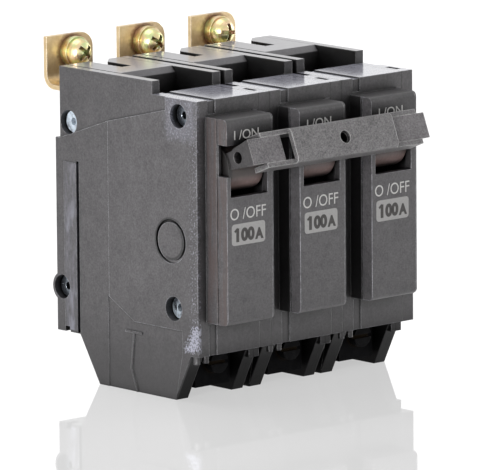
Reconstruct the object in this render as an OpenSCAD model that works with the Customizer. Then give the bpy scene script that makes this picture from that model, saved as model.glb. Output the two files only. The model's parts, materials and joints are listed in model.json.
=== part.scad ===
// Three-pole bolt-on circuit breaker.
// Three moulded single-pole cases stand side by side, each a base and a cover, riveted together.
// The handles are tied by a channel, and each pole holds a sprung contact arm, an arc chute,
// a thermal and magnetic release, a line strap and a load lug.
// Frame: +X across the poles to the right, +Y to the rear, +Z up to the line end.
// The object stands on the feet of its load end, and its origin is under the middle of its box.

/* [Pole case] */
// Width of one pole
pole_pitch = 25.4; // [24.6:0.1:27]
// Height of the front shoulder above the feet
shoulder_z = 79.1; // [77:0.1:84]
// Rise of the side walls above the shoulder
wall_rise = 3.4; // [2.6:0.1:5]
// Depth from the front of the shoulder to the lower rear face
case_depth = 55.5; // [54:0.1:60]
// Set-back of the upper rear face
rear_step = 1.5; // [0.5:0.1:2.5]
// Height at which the rear face steps back
rear_step_z = 63.6; // [58:0.1:66]
// Thickness of the base's side wall
side_wall = 3.1; // [2.4:0.1:3.4]
// Thickness of the cover plate
cover_t = 3.9; // [3:0.1:4.4]
// Thickness of the front, floor and rear walls
shell = 2.5; // [2:0.1:2.8]

/* [Top of the case] */
// Where the raised side walls start, behind the shoulder's front
wall_front_y = 17.6; // [16:0.1:20]
// Length of the deck over the line strap, from the upper rear face forwards
deck_len = 22; // [21:0.1:25]
// Depth of the vent below the side walls
vent_depth = 7.5; // [6:0.1:8]
// Thickness of the vent's floor
vent_t = 1.8; // [1.4:0.1:2]
// Thickness of the deck over the line strap
deck_t = 5; // [4.6:0.1:5.6]
// Chamfer along the deck's front edge
deck_chamfer = 1.5; // [0.8:0.1:2]
// Left side of the slot in the deck, from the pole's left face
deck_slot_x = 10.7; // [9:0.1:11.4]
// Width of the slot in the deck
deck_slot_w = 3.4; // [2.6:0.1:4]
// Length of the slot, from the upper rear face forwards
deck_slot_len = 13; // [10:0.1:15]
// Depth of the slot in the deck
deck_slot_t = 2.4; // [1:0.1:2.6]

/* [Legs] */
// Height of the case's lower edge above the feet
skirt_z = 12.3; // [10:0.1:14]
// Front end of the foot
foot_front_y = 9.1; // [7:0.1:11]
// Rear end of the foot
foot_rear_y = 38.9; // [36:0.1:42]
// Front of the leg where it leaves the case
leg_front_y = 2.9; // [2:0.1:4]
// Rear of the leg where it leaves the case
leg_rear_y = 46.5; // [44:0.1:48]
// Thickness of the leg on the base
leg_wall = 4.4; // [3.2:0.1:5]
// Thickness of the leg on the cover
cover_leg_t = 3.8; // [3:0.1:4.4]
// Set-back of the cover's leg from the next pole
leg_gap = 2; // [1:0.1:2.6]
// Thickness of the sloping wall at the rear of the lug space
leg_rear_wall = 2.4; // [1.8:0.1:3]

/* [Nose] */
// Left side of the raised nose, from the pole's left face
nose_x = 3; // [2.4:0.1:3.2]
// Width of the nose
nose_w = 15.7; // [15.4:0.1:16.3]
// Height of the nose in front of the shoulder
nose_out = 8.2; // [7.6:0.1:9]
// Lower end of the nose
nose_z = 21.2; // [19:0.1:24]
// Length of the nose
nose_h = 53.7; // [51:0.1:55]
// Thickness of the nose's left wall
nose_wall = 1.3; // [1:0.1:1.5]
// Thickness of the nose's front wall
nose_front = 2; // [1.5:0.1:2.5]
// Radius along the nose's upper and lower edges
nose_round = 1.4; // [0.6:0.1:2]
// Thickness of the cover's wall at the nose's right side
nose_cover_t = 0.9; // [0.8:0.1:1.5]
// Depth of the finger notch in the nose's left front corner
notch_depth = 3.5; // [2:0.1:4.5]

/* [Handle] */
// Middle of the handle, from the pole's left face
handle_x = 10.7; // [10.6:0.1:10.8]
// Height of the handle's pivot above the feet
handle_z = 61.4; // [59:0.1:63]
// Handle pivot in front of the shoulder
handle_pivot_out = 0.6; // [0:0.1:1.2]
// Half of the swing between ON and OFF, in degrees
swing_half = 22; // [18:1:24]
// Radius of the handle's hub
hub_r = 6.5; // [6:0.1:6.8]
// Width of the handle's hub
hub_w = 12; // [11:0.1:12.2]
// Reach of the handle's face from the pivot
handle_reach = 15.5; // [14.5:0.1:17]
// Width of the handle's head
head_w = 11.2; // [9:0.1:11.6]
// Height of the handle's face
head_h = 6.8; // [6:0.1:7.4]
// Distance of the tie hole behind the face
tie_hole_back = 5.3; // [4.6:0.1:5.6]
// Radius of the tie hole
tie_hole_r = 1.6; // [1:0.1:1.8]
// Radius of the handle's trunnions
trunnion_r = 1.8; // [1.4:0.1:2.2]

/* [Handle tie] */
// Wall of the tie channel
tie_wall = 1.3; // [0.9:0.1:1.8]
// Depth of the tie's flanges behind the handle's face
tie_flange = 5.4; // [3:0.1:6]
// How far the tie sits to the right of the handles' middles
tie_shift = 1; // [0.4:0.1:1.2]
// Mean gap between the tie's web and the outer handles
tie_gap = 2.1; // [1.6:0.1:2.8]
// How far the flanges stop short of the outer handles' sides
tie_short = 3.7; // [1.6:0.1:5]
// Radius of the hole in the tie's web
tie_eye_r = 1.7; // [0.8:0.1:2]

/* [Line terminal] */
// Width of the line strap
strap_w = 16; // [14:0.1:16.4]
// Thickness of the line strap
strap_t = 1.2; // [1:0.1:1.6]
// Depth of the strap's run below the side walls
strap_drop = 6.4; // [6.2:0.1:7.2]
// Front of the tab, behind the shoulder's front
tab_y = 63.9; // [63:0.1:68]
// Height of the tab above the side walls
tab_rise = 6.1; // [5:0.1:9]
// Inner radius of the strap's bend
bend_r = 2.5; // [1.5:0.1:3.5]
// Radius of the tab's upper right corner
tab_round = 4; // [1:0.1:5]
// Depth of the line screw's axis below the tab's top
screw_drop = 4.6; // [4.4:0.1:5.4]
// Line screw's axis, from the pole's left face
screw_x = 13.3; // [12.4:0.1:13.6]
// Radius of the line screw's shank
screw_r = 2.4; // [2.4:0.05:2.6]
// Radius of the tail that stands behind the tab, at the root of its thread
tail_r = 2; // [1.8:0.05:2.1]
// Length of that tail
screw_tail = 7; // [4:0.1:9]
// Radius of the line screw's head
head_r = 3.7; // [3.4:0.1:3.9]
// Height of the line screw's head
head_t = 3.7; // [2.6:0.1:3.8]
// Radius of the flat washer
washer_r = 4.1; // [4:0.1:4.4]
// Thickness of the flat washer
washer_t = 1.2; // [0.8:0.1:1.4]
// Radius of the spring washer
lock_r = 3.9; // [3.6:0.1:4]
// Thickness of the spring washer
lock_t = 1.3; // [1:0.1:1.6]

/* [Load terminal] */
// Height of the roof over the lug
lug_roof = 15; // [14:0.1:16]
// Front of the lug
lug_y = 8; // [7.4:0.1:8.6]
// Width of the lug
lug_w = 12; // [11:0.1:13]
// Length of the lug from front to rear
lug_len = 14.5; // [13.5:0.1:15]
// Height of the lug
lug_h = 12.5; // [11:0.1:13]
// Radius of the wire hole
wire_r = 4; // [3:0.1:4.3]
// Radius of the lug screw
lug_screw_r = 3; // [2.2:0.1:3.4]
// Length of the lug screw
lug_screw_len = 6.8; // [5.5:0.1:7.2]
// Thickness of the load strap
load_t = 1.5; // [1:0.1:2]
// Width of the load strap at the lug
load_w = 9; // [7:0.1:11]

/* [Rivets] */
// Radius of the case rivets
rivet_r = 1.7; // [1.2:0.1:2]
// Radius of the bore through a rivet
rivet_bore = 1; // [0.6:0.1:1.1]
// Radius of the rivet's rolled head
rivet_head_r = 2.9; // [2.3:0.1:2.9]
// Depth of the sink that holds the head
rivet_sink = 3; // [1.2:0.1:3]
// Radius of the knock-out at the trip bar
knockout_r = 5.8; // [5.2:0.1:6.2]
// Depth of the groove round the knock-out
knockout_groove = 0.8; // [0.4:0.1:1.2]
// Width of the groove round the knock-out
knockout_lip = 0.8; // [0.4:0.1:1.2]

/* [Contacts] */
// Width of the contact arm
arm_w = 4.8; // [3.6:0.1:5.2]
// Thickness of the contact arm
arm_t = 3; // [2.4:0.1:3.4]
// Distance of the arm's pivot behind the handle's pivot
fork_len = 9.4; // [9.2:0.1:10]
// Thickness of each ear of the handle's fork
ear_t = 2; // [1.5:0.1:2.2]
// Radius of the arm's pivot
arm_pin_r = 1.2; // [0.9:0.1:1.4]
// Radius of the contact buttons
contact_r = 2.2; // [1.6:0.1:2.4]
// Thickness of the contact buttons
contact_t = 1.2; // [0.8:0.1:1.5]

/* [Arc chute] */
// Number of steel plates in the chute
chute_plates = 6; // [4:1:7]
// Thickness of a steel plate
chute_plate_t = 1; // [0.8:0.1:1.2]
// Height of the chute
chute_h = 16; // [14:0.1:17]
// Depth of the chute
chute_depth = 5; // [4.6:0.1:5.1]
// Thickness of the chute's fibre sides
chute_side_t = 1; // [0.6:0.1:1.4]
// Width of the throat that the arm passes through
throat_w = 8; // [7:0.1:9]

/* [Release] */
// Trip bar behind the shoulder's front
trip_y = 10.3; // [9.8:0.1:10.8]
// Height of the trip bar above the feet
trip_z = 41.6; // [40:0.1:43]
// Radius of the trip bar's journals
trip_journal_r = 4.1; // [4:0.1:4.4]
// Half of the trip bar's depth
trip_half_y = 2.5; // [2:0.1:2.7]
// Half of the trip bar's height
trip_half_z = 3; // [2.4:0.1:3]
// Thickness of the armature plate
armature_t = 1.2; // [0.8:0.1:1.4]
// Reach of the armature below the trip bar's axis
armature_low = 12; // [10:0.1:13]
// Height of the latch above the trip bar's axis
latch_rise = 9.3; // [8.6:0.1:9.8]
// Distance of the cradle's pivot behind the trip bar
cradle_run = 25.7; // [24.5:0.1:27]
// Thickness of the cradle plate
cradle_t = 1.8; // [1.2:0.1:2]
// Radius of the cradle's pivot stud
cradle_pin_r = 1.5; // [1.1:0.1:1.8]
// Thickness of the bimetal strip
bimetal_t = 1; // [0.7:0.1:1.3]
// Height of the bimetal strip
bimetal_h = 28; // [24:0.1:29]
// Width of the bimetal strip
bimetal_w = 5.4; // [4:0.1:5.8]
// Thickness of the magnet yoke
yoke_t = 1.5; // [1:0.1:1.9]
// Height of the magnet yoke
yoke_h = 13; // [10:0.1:14]
// Radius of the flexible braid
braid_r = 1; // [0.6:0.1:1.1]
// Wire radius of the main spring
spring_wire = 0.4; // [0.3:0.05:0.5]
// Coil radius of the main spring, at the middle of the wire
spring_coil = 1.8; // [1.5:0.1:2]
// Turns of the main spring
spring_turns = 7; // [5:1:7]
// Wire radius of the trip bar's spring
trip_wire = 0.25; // [0.2:0.05:0.3]
// Coil radius of the trip bar's spring
trip_coil = 1.2; // [0.9:0.1:1.4]
// Turns of the trip bar's spring
trip_turns = 4; // [3:1:5]

/* [Hidden] */
poles = 3;
POLE_NODES = ["case_base", "case_cover", "handle", "contact_arm", "moving_contact", "cradle",
    "main_spring", "armature", "bimetal", "magnet_yoke", "braid", "arc_plates", "arc_sides",
    "line_strap", "load_strap", "lug", "lug_screw"];
SHARED_NODES = ["handle_tie", "trip_bar", "trip_spring", "case_rivets", "fixed_contacts",
    "line_screws", "line_lock_washers", "line_washers"];

// Clearances: running pins, seated pieces and free motion
run_gap = 0.05;
seat_gap = 0.1;
free_gap = 0.3;
// Overrun of cutters, overlap of joined solids and facets round a circle
over = 1;
bond = 0.5;
rounds = 48;

// Case levels and planes, within a pole
split_x = pole_pitch - cover_t;
wall_top = shoulder_z + wall_rise;
rear_top_y = case_depth - rear_step;
deck_y = rear_top_y - deck_len;
vent_floor = wall_top - vent_depth;
floor_z = lug_roof + shell;
inner_rear_y = rear_top_y - shell;
nose_top = nose_z + nose_h;
nose_right = nose_x + nose_w;
nose_end = nose_right + nose_cover_t;
leg_in_x = pole_pitch - leg_gap - cover_leg_t;
leg_out_x = pole_pitch - leg_gap;
leg_lean = (leg_rear_y - foot_rear_y) / skirt_z;

// Lines, pockets and pips of the mouldings
groove_gap = 0.8;
deck_line = 0.5;
deck_slot_y = rear_top_y - deck_slot_len;
deck_slot_corner = 3.6;
cover_back = 0.6;
nose_line_t = 0.25;
nose_line_h = 0.4;
notch_low = 1.4;
bearing_skin = 0.3;
groove_x = side_wall + groove_gap;
groove_w = 2.6;
groove_t = 0.35;
groove_end = 0.6;
pocket = [1.5, 4.5, 0.6];
pocket_in = 2.5;
pocket_at = [pole_pitch - pocket_in, 3.3];
foot_notch = [2, 1.5];
foot_notch_in = 5.1;
foot_notch_y = case_depth - foot_notch_in;
leg_block = [2.5, 2.9];
pip_r = 0.85;
pip_h = 2;
pips = [[0.9, 1.6], [3.9, 1.6]];
mark_t = 0.3;
mark_w = 0.6;
mark_rise = 3.1;
mark_drop = 6.3;
mark_bar = [[22, 28.5], skirt_z + mark_rise];
mark_stem = [[25.2, skirt_z + mark_rise], [26.3, skirt_z - mark_drop], [24.1, 0]];

// Handle and tie
hub_room = 0.4;
boss_share = 0.4;
stem_step = 0.5;
tie_blend = 0.2;
pivot_y = -handle_pivot_out;
well_half = hub_r + free_gap;
slot_half = hub_w / 2 + hub_room;
boss_r = head_h * boss_share;
stem_half = boss_r - stem_step;
tie_x = handle_x + tie_shift;
tie_out_u = handle_reach + tie_wall;
tie_half_h = head_h / 2 + tie_wall;
tie_round = tie_wall + tie_blend;
tie_web_half = pole_pitch - head_w / 2 - tie_gap;
tie_flange_half = pole_pitch + head_w / 2 - tie_short;

// Line terminal
strap_room = 0.5;
recess_share = [1.26, 0.5];
strap_top = wall_top - strap_drop;
strap_low = strap_top - strap_t;
strap_x = pole_pitch / 2 - strap_w / 2;
strap_end_y = deck_y + shell + strap_room;
tab_top = wall_top + tab_rise;
tab_back = tab_y + strap_t;
screw_z = tab_top - screw_drop;
screw_stack = lock_t + washer_t;
screw_tip = tab_back + screw_tail;
dome_r = (head_r * head_r + head_t * head_t) / (2 * head_t);
recess = [head_r * recess_share[0], 1.1, head_t * recess_share[1]];
recess_turn = [45, 38, 4];
lock_cut = 0.8;

// Where the model stands: the middle of its depth lies over the origin
reach_front = pivot_y - (tie_out_u - tie_round) * cos(swing_half)
    - (tie_half_h - tie_round) * sin(swing_half) - tie_round;
front_y = -(reach_front + screw_tip) / 2;

// Load terminal
lug_screw_share = 0.52;
lug_x = (leg_wall + leg_in_x) / 2;
lug_rear = lug_y + lug_len;
lug_low = lug_roof - lug_h;
lug_web = 2.2;
wire_y = lug_rear - lug_web - wire_r;
lug_screw_z = lug_low + lug_h * lug_screw_share;
lug_screw_y = wire_y - wire_r - free_gap - lug_screw_len;
lug_slot = [1, 1.2];

// Contact arm, closed: from the fork's eye up to the button under the strap's end
eye_wall = 1.2;
contact_inset = 0.8;
arm_lip = 0.4;
arm_crook = 0.4;
fork_y = pivot_y + fork_len * cos(swing_half);
fork_z = handle_z - fork_len * sin(swing_half);
ear_x = arm_w / 2 + seat_gap;
eye_r = arm_pin_r + eye_wall;
contact_y = strap_end_y + contact_r + contact_inset;
fixed_low = strap_low - contact_t;
arm_top = fixed_low - seat_gap - contact_t;
arm_tip_y = contact_y + contact_r + arm_lip;
arm_bend_y = contact_y - contact_r - contact_inset;
arm_under_y = arm_bend_y + arm_t * arm_crook;

// Arc chute, behind the arm's tip
chute_gap = 0.9;
chute_drop = 1.4;
throat_share = 0.7;
chute_y = arm_tip_y + chute_gap;
chute_top = fixed_low - chute_drop;
chute_low = chute_top - chute_h;
chute_shelf = chute_low - seat_gap;
chute_margin = 1;
throat_deep = chute_depth * throat_share;

// Release: the latch's lip leans back, so that the cradle's tip slides off it as both move
armature_left = 4.5;
armature_x = handle_x - armature_left;
armature_w = 10.4;
armature_y = trip_y + trip_half_y;
armature_head = 2;
latch_y = armature_y + armature_t;
latch_margin = 0.4;
lip_run = 1.4;
lip_under = 1.7;
lip_over = 1.5;
lip_low = trip_z + latch_rise - lip_under;
lip_top = trip_z + latch_rise + lip_over;
lip_lean = lip_run / (lip_top - lip_low);
cradle_side = 1.4;
cradle_rise = 4;
cradle_wall = 1.6;
cradle_x = handle_x + ear_x + cradle_side;
cradle_y = trip_y + cradle_run;
cradle_z = trip_z + cradle_rise;
cradle_eye_r = cradle_pin_r + cradle_wall;
tip_top = trip_z + latch_rise - free_gap;
tip_deep = 3.4;
stud_r = 0.9;
stud_share = 0.61;
hook_back = 4;
stud_y = trip_y + cradle_run * stud_share;
stud_z = tip_top - tip_deep / 2;
stud_end = 0.7;
hook_y = stud_y - hook_back;
bimetal_x = handle_x - bimetal_w / 2;
bimetal_lift = 4.5;
bimetal_z = floor_z + bimetal_lift;
load_top = trip_z;
load_lap = 2;
load_hang = 1;
load_low = lug_low + load_hang;
yoke_gap = 6.7;
yoke_room = 0.5;
yoke_legs_y = trip_y + yoke_gap;
yoke_in = bimetal_w / 2 + yoke_room;
spring_seat = 0.2;

// Bow of the braid between its ends: sideways, rearwards and in height
braid_lead = 5;
braid_out = [1.6, 2.6, 2.8, 2.4, 1.4];
braid_back = [0.6, 5, 0.6];
braid_dip = [1, 0.5, 4, 2.5, 4];
braid_steps = 3;

// Rivet axes in depth and height, and the boss round each one inside the base
rivet_in = [7, 3.5, 2.15, 9.35];
rivet_down = [4.5, 14.5];
rivet_up = 11.7;
rivet_wall = 1;
boss_wall = 1.9;
rivets = [
    [rivet_in[0], shoulder_z - rivet_down[0]],
    [rear_top_y - rivet_in[1], wall_top - rivet_down[1]],
    [case_depth - rivet_in[2], skirt_z + rivet_up],
    [rivet_in[3], skirt_z + rivet_up]];
rivet_ear = rivet_head_r + rivet_wall;
rivet_boss = rivet_r + boss_wall;
rivet_flange = 0.8;

// Sunk fields of the side faces: depths, and the lines that bound them
upper_relief = 0.5;
cover_relief = 1.2;
lower_relief = 0.4;
rear_relief = 0.2;
field_in = 20.8;
field_drop = 12.3;
field_up = 11.6;
upper_in = 5;
upper_drop = 3.4;
lower_in = 3.3;
lower_up = 6.2;
lower_run = 10;
pad_in = [8.6, 3.2];
pad_drop = 6;
pad_up = 0.7;
pad_groove = [0.9, 1.4];
field_y = case_depth - field_in;
field_top = wall_top - field_drop;
field_low = skirt_z + field_up;
upper_front_y = rivets[0][0] + upper_in;
upper_front_z = shoulder_z - upper_drop;
lower_front_y = leg_front_y + lower_in;
lower_top_z = skirt_z + lower_up;
lower_peak_y = field_y - lower_run;
pad_y = case_depth - pad_in[0];
pad_rear_y = case_depth - pad_in[1];
pad_top = rear_step_z - pad_drop;
pad_low = skirt_z + pad_up;

// Points along an arc about c, from angle a to angle b
function arc(c, r, a, b, n = 6) =
    [for (i = [0:n]) c + r * [cos(a + (b - a) * i / n), sin(a + (b - a) * i / n)]];

// A unit vector
function unit(v) = v / norm(v);

// Tangent of a run of points at point i
function along(p, i) = unit(p[min(i + 1, len(p) - 1)] - p[max(i - 1, 0)]);

// A smooth run through points, with n steps between two of them
function smooth(p, n) = concat([for (i = [0:len(p) - 2], k = [0:n - 1])
    let (a = p[max(i - 1, 0)], b = p[i], c = p[i + 1], d = p[min(i + 2, len(p) - 1)], t = k / n)
    b + (c - a) * t / 2 + (2 * a - 5 * b + 4 * c - d) * t * t / 2
    + (3 * b - a - 3 * c + d) * t * t * t / 2], [p[len(p) - 1]]);

// Points of a coil on the Z axis
function coil(r, height, turns, steps = 8) = [for (i = [0:turns * steps])
    [r * cos(i * 360 / steps), r * sin(i * 360 / steps), height * i / (turns * steps)]];

// Least gap between two turns of a coil
function coil_gap(r, wire, height, turns) =
    height / turns * cos(atan(height / turns / (2 * PI * r))) - 2 * wire;

// Underside of the closed contact arm at a depth
function arm_low_at(y) = fork_z - arm_t / 2
    + (arm_top - arm_t / 2 - fork_z) * (y - fork_y) / (arm_under_y - fork_y);

// Depth of the cradle's front face at a height, parallel to the latch's lip
function latch_face(z) = latch_y + (z - lip_low) * lip_lean + free_gap * norm([1, lip_lean]);

// Outline of a side wall in depth and height, with its raised top and its leg
function wall_outline() = [
    [0, skirt_z], [0, shoulder_z], [wall_front_y, shoulder_z], [wall_front_y, wall_top],
    [rear_top_y, wall_top], [rear_top_y, rear_step_z], [case_depth, rear_step_z],
    [case_depth, skirt_z], [foot_notch_y + foot_notch[0], skirt_z],
    [foot_notch_y + foot_notch[0], skirt_z + foot_notch[1]],
    [foot_notch_y, skirt_z + foot_notch[1]], [foot_notch_y, skirt_z],
    [leg_rear_y, skirt_z], [foot_rear_y, 0], [foot_front_y, 0], [leg_front_y, skirt_z]];

// Outline of the leg below the case
function leg_outline() = [
    [leg_front_y, skirt_z], [leg_rear_y, skirt_z], [foot_rear_y, 0], [foot_front_y, 0]];

// Outline of the body between the side walls, with the vent, the deck and the lug's roof
function body_outline() = [
    [0, skirt_z], [0, shoulder_z], [wall_front_y, shoulder_z], [wall_front_y, vent_floor],
    [deck_y, vent_floor], [deck_y, wall_top - deck_chamfer], [deck_y + deck_chamfer, wall_top],
    [rear_top_y, wall_top], [rear_top_y, rear_step_z], [case_depth, rear_step_z],
    [case_depth, skirt_z], [leg_rear_y, skirt_z], [foot_rear_y, 0], [foot_rear_y - leg_rear_wall, 0],
    [foot_rear_y - leg_rear_wall + leg_lean * lug_roof, lug_roof], [shell, lug_roof], [shell, skirt_z]];

// Outline of the chamber that holds the mechanism
function chamber_outline() = [
    [shell, floor_z], [shell, shoulder_z - shell], [wall_front_y - shell, shoulder_z - shell],
    [wall_front_y - shell, vent_floor - vent_t], [deck_y + shell, vent_floor - vent_t],
    [deck_y + shell, wall_top - deck_t], [inner_rear_y, wall_top - deck_t], [inner_rear_y, floor_z]];

// Side outline of the nose, with rounded upper and lower front edges
function nose_outline(out) = concat(
    [[shell, nose_z], [shell, nose_top]],
    arc([nose_round - out, nose_top - nose_round], nose_round, 90, 180),
    arc([nose_round - out, nose_z + nose_round], nose_round, 180, 270));

// Draws a depth and height outline from x0 to x1
module across(x0, x1)
    translate([x0, 0, 0]) rotate([90, 0, 90]) linear_extrude(x1 - x0) children();

// Draws such an outline from outside the face at x into the wall, which lies in the direction way
module into(x, way, depth)
    across(min(x - way * over, x + way * depth), max(x - way * over, x + way * depth)) children();

// A box between two corners
module block(low, high) translate(low) cube(high - low);

// A disc in depth and height
module disc(at, r) translate(at) circle(r = r, $fn = rounds);

// A round bar along X
module rod(x0, x1, at, r)
    translate([x0, at[0], at[1]]) rotate([0, 90, 0]) cylinder(h = x1 - x0, r = r, $fn = rounds);

// A round bar along Y
module peg(at, length, r) translate(at) rotate([-90, 0, 0]) cylinder(h = length, r = r, $fn = rounds);

// A tube swept along points, with its rings turned about the reference direction
module tube(p, r, ref, sides = 6) {
    last = len(p) - 1;
    rings = [for (i = [0:last]) let (t = along(p, i), n = unit(cross(t, ref)), b = cross(t, n))
        for (k = [0:sides - 1]) p[i] + r * (cos(k * 360 / sides) * n + sin(k * 360 / sides) * b)];
    skin = [for (i = [0:last - 1], k = [0:sides - 1]) let (m = (k + 1) % sides)
        each [[i * sides + k, i * sides + m, (i + 1) * sides + m],
            [i * sides + k, (i + 1) * sides + m, (i + 1) * sides + k]]];
    ends = [for (k = [1:sides - 2]) each [[0, k + 1, k],
        [last * sides, last * sides + k, last * sides + k + 1]]];
    polyhedron(rings, concat(skin, ends));
}

// Puts a pole's own pieces in place
module at_pole(p) translate([(p - 1 - poles / 2) * pole_pitch, front_y, 0]) children();

// Puts the handle's pieces at the ON position, with the handle along -Y before it is turned
module at_handle() translate([0, pivot_y, handle_z]) rotate([-swing_half, 0, 0]) children();

// Sunk fields on a side face, and the pad with its groove that the rear one leaves standing
module side_fields(x, way, upper) {
    into(x, way, upper) polygon([
        [rear_top_y, rear_step_z], [field_y, field_top], [upper_front_y, upper_front_z],
        [upper_front_y, wall_top + over], [rear_top_y + over, wall_top + over],
        [rear_top_y + over, rear_step_z]]);
    into(x, way, rear_relief) difference() {
        polygon([
            [field_y, -over], [field_y, field_top + bond], [rear_top_y, rear_step_z + bond],
            [case_depth + rivet_ear, rear_step_z + bond], [case_depth + rivet_ear, -over]]);
        translate([pad_y, pad_low]) square([pad_rear_y - pad_y, pad_top - pad_low]);
    }
    into(x, way, pad_groove[1]) translate([pad_y - pad_groove[0] / 2, pad_low - bond])
        square([pad_groove[0], pad_top - pad_low + 2 * bond]);
    into(x, way, lower_relief) polygon([
        [field_y + bond, -over], [field_y + bond, field_low], [field_y, field_low],
        [lower_peak_y, lower_top_z], [lower_front_y, lower_top_z], [lower_front_y, skirt_z],
        [foot_front_y, -over]]);
}

// Raised mark on the leg that shows how long to strip the wire
module strip_mark() across(lower_relief - mark_t, lower_relief + bond) {
    translate([mark_bar[0][0], mark_bar[1]]) square([mark_bar[0][1] - mark_bar[0][0], mark_w]);
    polygon(concat([for (at = mark_stem) at - [mark_w / 2, 0]],
        [for (i = [len(mark_stem) - 1:-1:0]) mark_stem[i] + [mark_w / 2, 0]]));
}

// Rivet holes with the sinks for their heads
module rivet_holes(x0, x1, x, way) for (at = rivets) {
    rod(x0 - over, x1 + over, at, rivet_r + run_gap);
    into(x, way, rivet_sink) disc(at, rivet_head_r + free_gap);
}

// The trip bar's hole, or the groove that marks it where it stays closed
module trip_opening(x0, x1, x, way, closed) {
    at = [trip_y, trip_z];
    if (closed) into(x, way, knockout_groove) difference() {
        disc(at, knockout_r);
        disc(at, knockout_r - knockout_lip);
    }
    else rod(x0 - over, x1 + over, at, trip_journal_r + run_gap);
}

// Solid of the base before its openings are cut
module base_blank() {
    difference() {
        union() {
            across(0, side_wall) polygon(wall_outline());
            across(side_wall, split_x) polygon(body_outline());
            across(nose_x, nose_right) polygon(nose_outline(nose_out));
            across(side_wall, leg_wall) polygon(leg_outline());
            rod(0, side_wall, rivets[2], rivet_ear);
        }
        across(side_wall, split_x + over) polygon(chamber_outline());
        block([nose_x + nose_wall, nose_front - nose_out, nose_z + shell],
            [nose_right + over, shell + over, nose_top - shell]);
    }
    intersection() {
        across(side_wall - bond, split_x) polygon(body_outline());
        for (at = rivets) rod(side_wall - bond, split_x, at, rivet_boss);
    }
    block([side_wall - bond, chute_y, chute_shelf - shell], [split_x, inner_rear_y + bond, chute_shelf]);
    for (at = pips) translate([at[0], at[1], skirt_z - pip_h])
        cylinder(h = pip_h + bond, r = pip_r, $fn = rounds);
}

// Front of the base: the handle's slot, the finger notch, the line round the nose and the bearing
module base_front_cuts() {
    block([handle_x - slot_half, -nose_out - over, handle_z - well_half],
        [handle_x + slot_half, shell + over, handle_z + well_half]);
    block([nose_x - over, -nose_out - over, handle_z - notch_low],
        [nose_x + nose_wall + over, notch_depth - nose_out, handle_z + well_half]);
    block([nose_x - over, notch_depth - nose_out, nose_z - over],
        [nose_x + nose_line_t, notch_depth - nose_out + nose_line_h, nose_top + over]);
    rod(nose_x + bearing_skin, nose_x + nose_wall + over, [pivot_y, handle_z], trunnion_r + run_gap);
    block([nose_right, -over, nose_z], [split_x + over, shell + over, nose_top]);
    block([groove_x, -over, nose_top + groove_end], [groove_x + groove_w, groove_t, shoulder_z + over]);
    block([groove_x, -over, skirt_z - over], [groove_x + groove_w, groove_t, nose_z - groove_end]);
}

// Top of the base: the shoulder's groove, the line beside the deck and the slot in the deck
module base_top_cuts() {
    block([groove_x, -over, shoulder_z - groove_t],
        [groove_x + groove_w, wall_front_y + over, shoulder_z + over]);
    block([side_wall, deck_y - over, wall_top - deck_line],
        [side_wall + deck_line, rear_top_y + over, wall_top + over]);
    translate([0, 0, wall_top - deck_slot_t]) linear_extrude(deck_slot_t + over) polygon([
        [deck_slot_x, deck_slot_y], [deck_slot_x + deck_slot_w, deck_slot_y],
        [deck_slot_x + deck_slot_w, rear_top_y - deck_slot_corner],
        [deck_slot_x + deck_slot_w + deck_slot_corner + over, rear_top_y + over],
        [deck_slot_x, rear_top_y + over]]);
}

// Moulded base of a pole: side wall, chamber, deck, nose and leg
module case_base(p) color("DimGray") at_pole(p) {
    difference() {
        base_blank();
        base_front_cuts();
        base_top_cuts();
        across(leg_in_x, split_x + over) polygon(leg_outline());
        block([strap_x - seat_gap, inner_rear_y - over, strap_low - seat_gap],
            [split_x + over, rear_top_y + over, strap_top + seat_gap]);
        block([lug_x - load_w / 2 - seat_gap, lug_rear - seat_gap, lug_roof - over],
            [lug_x + load_w / 2 + seat_gap, lug_rear + load_t + seat_gap, floor_z + over]);
        side_fields(0, 1, upper_relief);
        rivet_holes(0, split_x, 0, 1);
        trip_opening(0, side_wall, 0, 1, p == 1);
    }
    strip_mark();
}

// Moulded cover of a pole: the right wall, its leg, the nose's right wall and the cradle's stud
module case_cover(p) color("DimGray") at_pole(p) difference() {
    union() {
        across(split_x, pole_pitch) polygon(wall_outline());
        rod(split_x, pole_pitch, rivets[2], rivet_ear);
        across(nose_right, nose_end) polygon(nose_outline(nose_out - cover_back));
        block([nose_right, 0, nose_z], [split_x + over, shell, nose_top]);
        across(leg_in_x, split_x + over) polygon(leg_outline());
        block([leg_in_x + free_gap, leg_front_y - free_gap, skirt_z - leg_block[1]],
            [leg_out_x, leg_front_y + leg_block[0], skirt_z]);
        rod(cradle_x + cradle_t + seat_gap, split_x + over, [cradle_y, cradle_z], cradle_eye_r);
        rod(cradle_x - latch_margin, split_x + over, [cradle_y, cradle_z], cradle_pin_r);
    }
    rod(nose_right - over, nose_end - bearing_skin, [pivot_y, handle_z], trunnion_r + run_gap);
    block([leg_out_x, leg_front_y - over, -over], [pole_pitch + over, leg_rear_y + over, skirt_z]);
    block([pocket_at[0], pocket_at[1], shoulder_z - pocket[2]],
        [pocket_at[0] + pocket[0], pocket_at[1] + pocket[1], shoulder_z + over]);
    side_fields(pole_pitch, -1, cover_relief);
    rivet_holes(split_x, pole_pitch, pole_pitch, -1);
    trip_opening(split_x, pole_pitch, pole_pitch, -1, p == poles);
}

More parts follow.
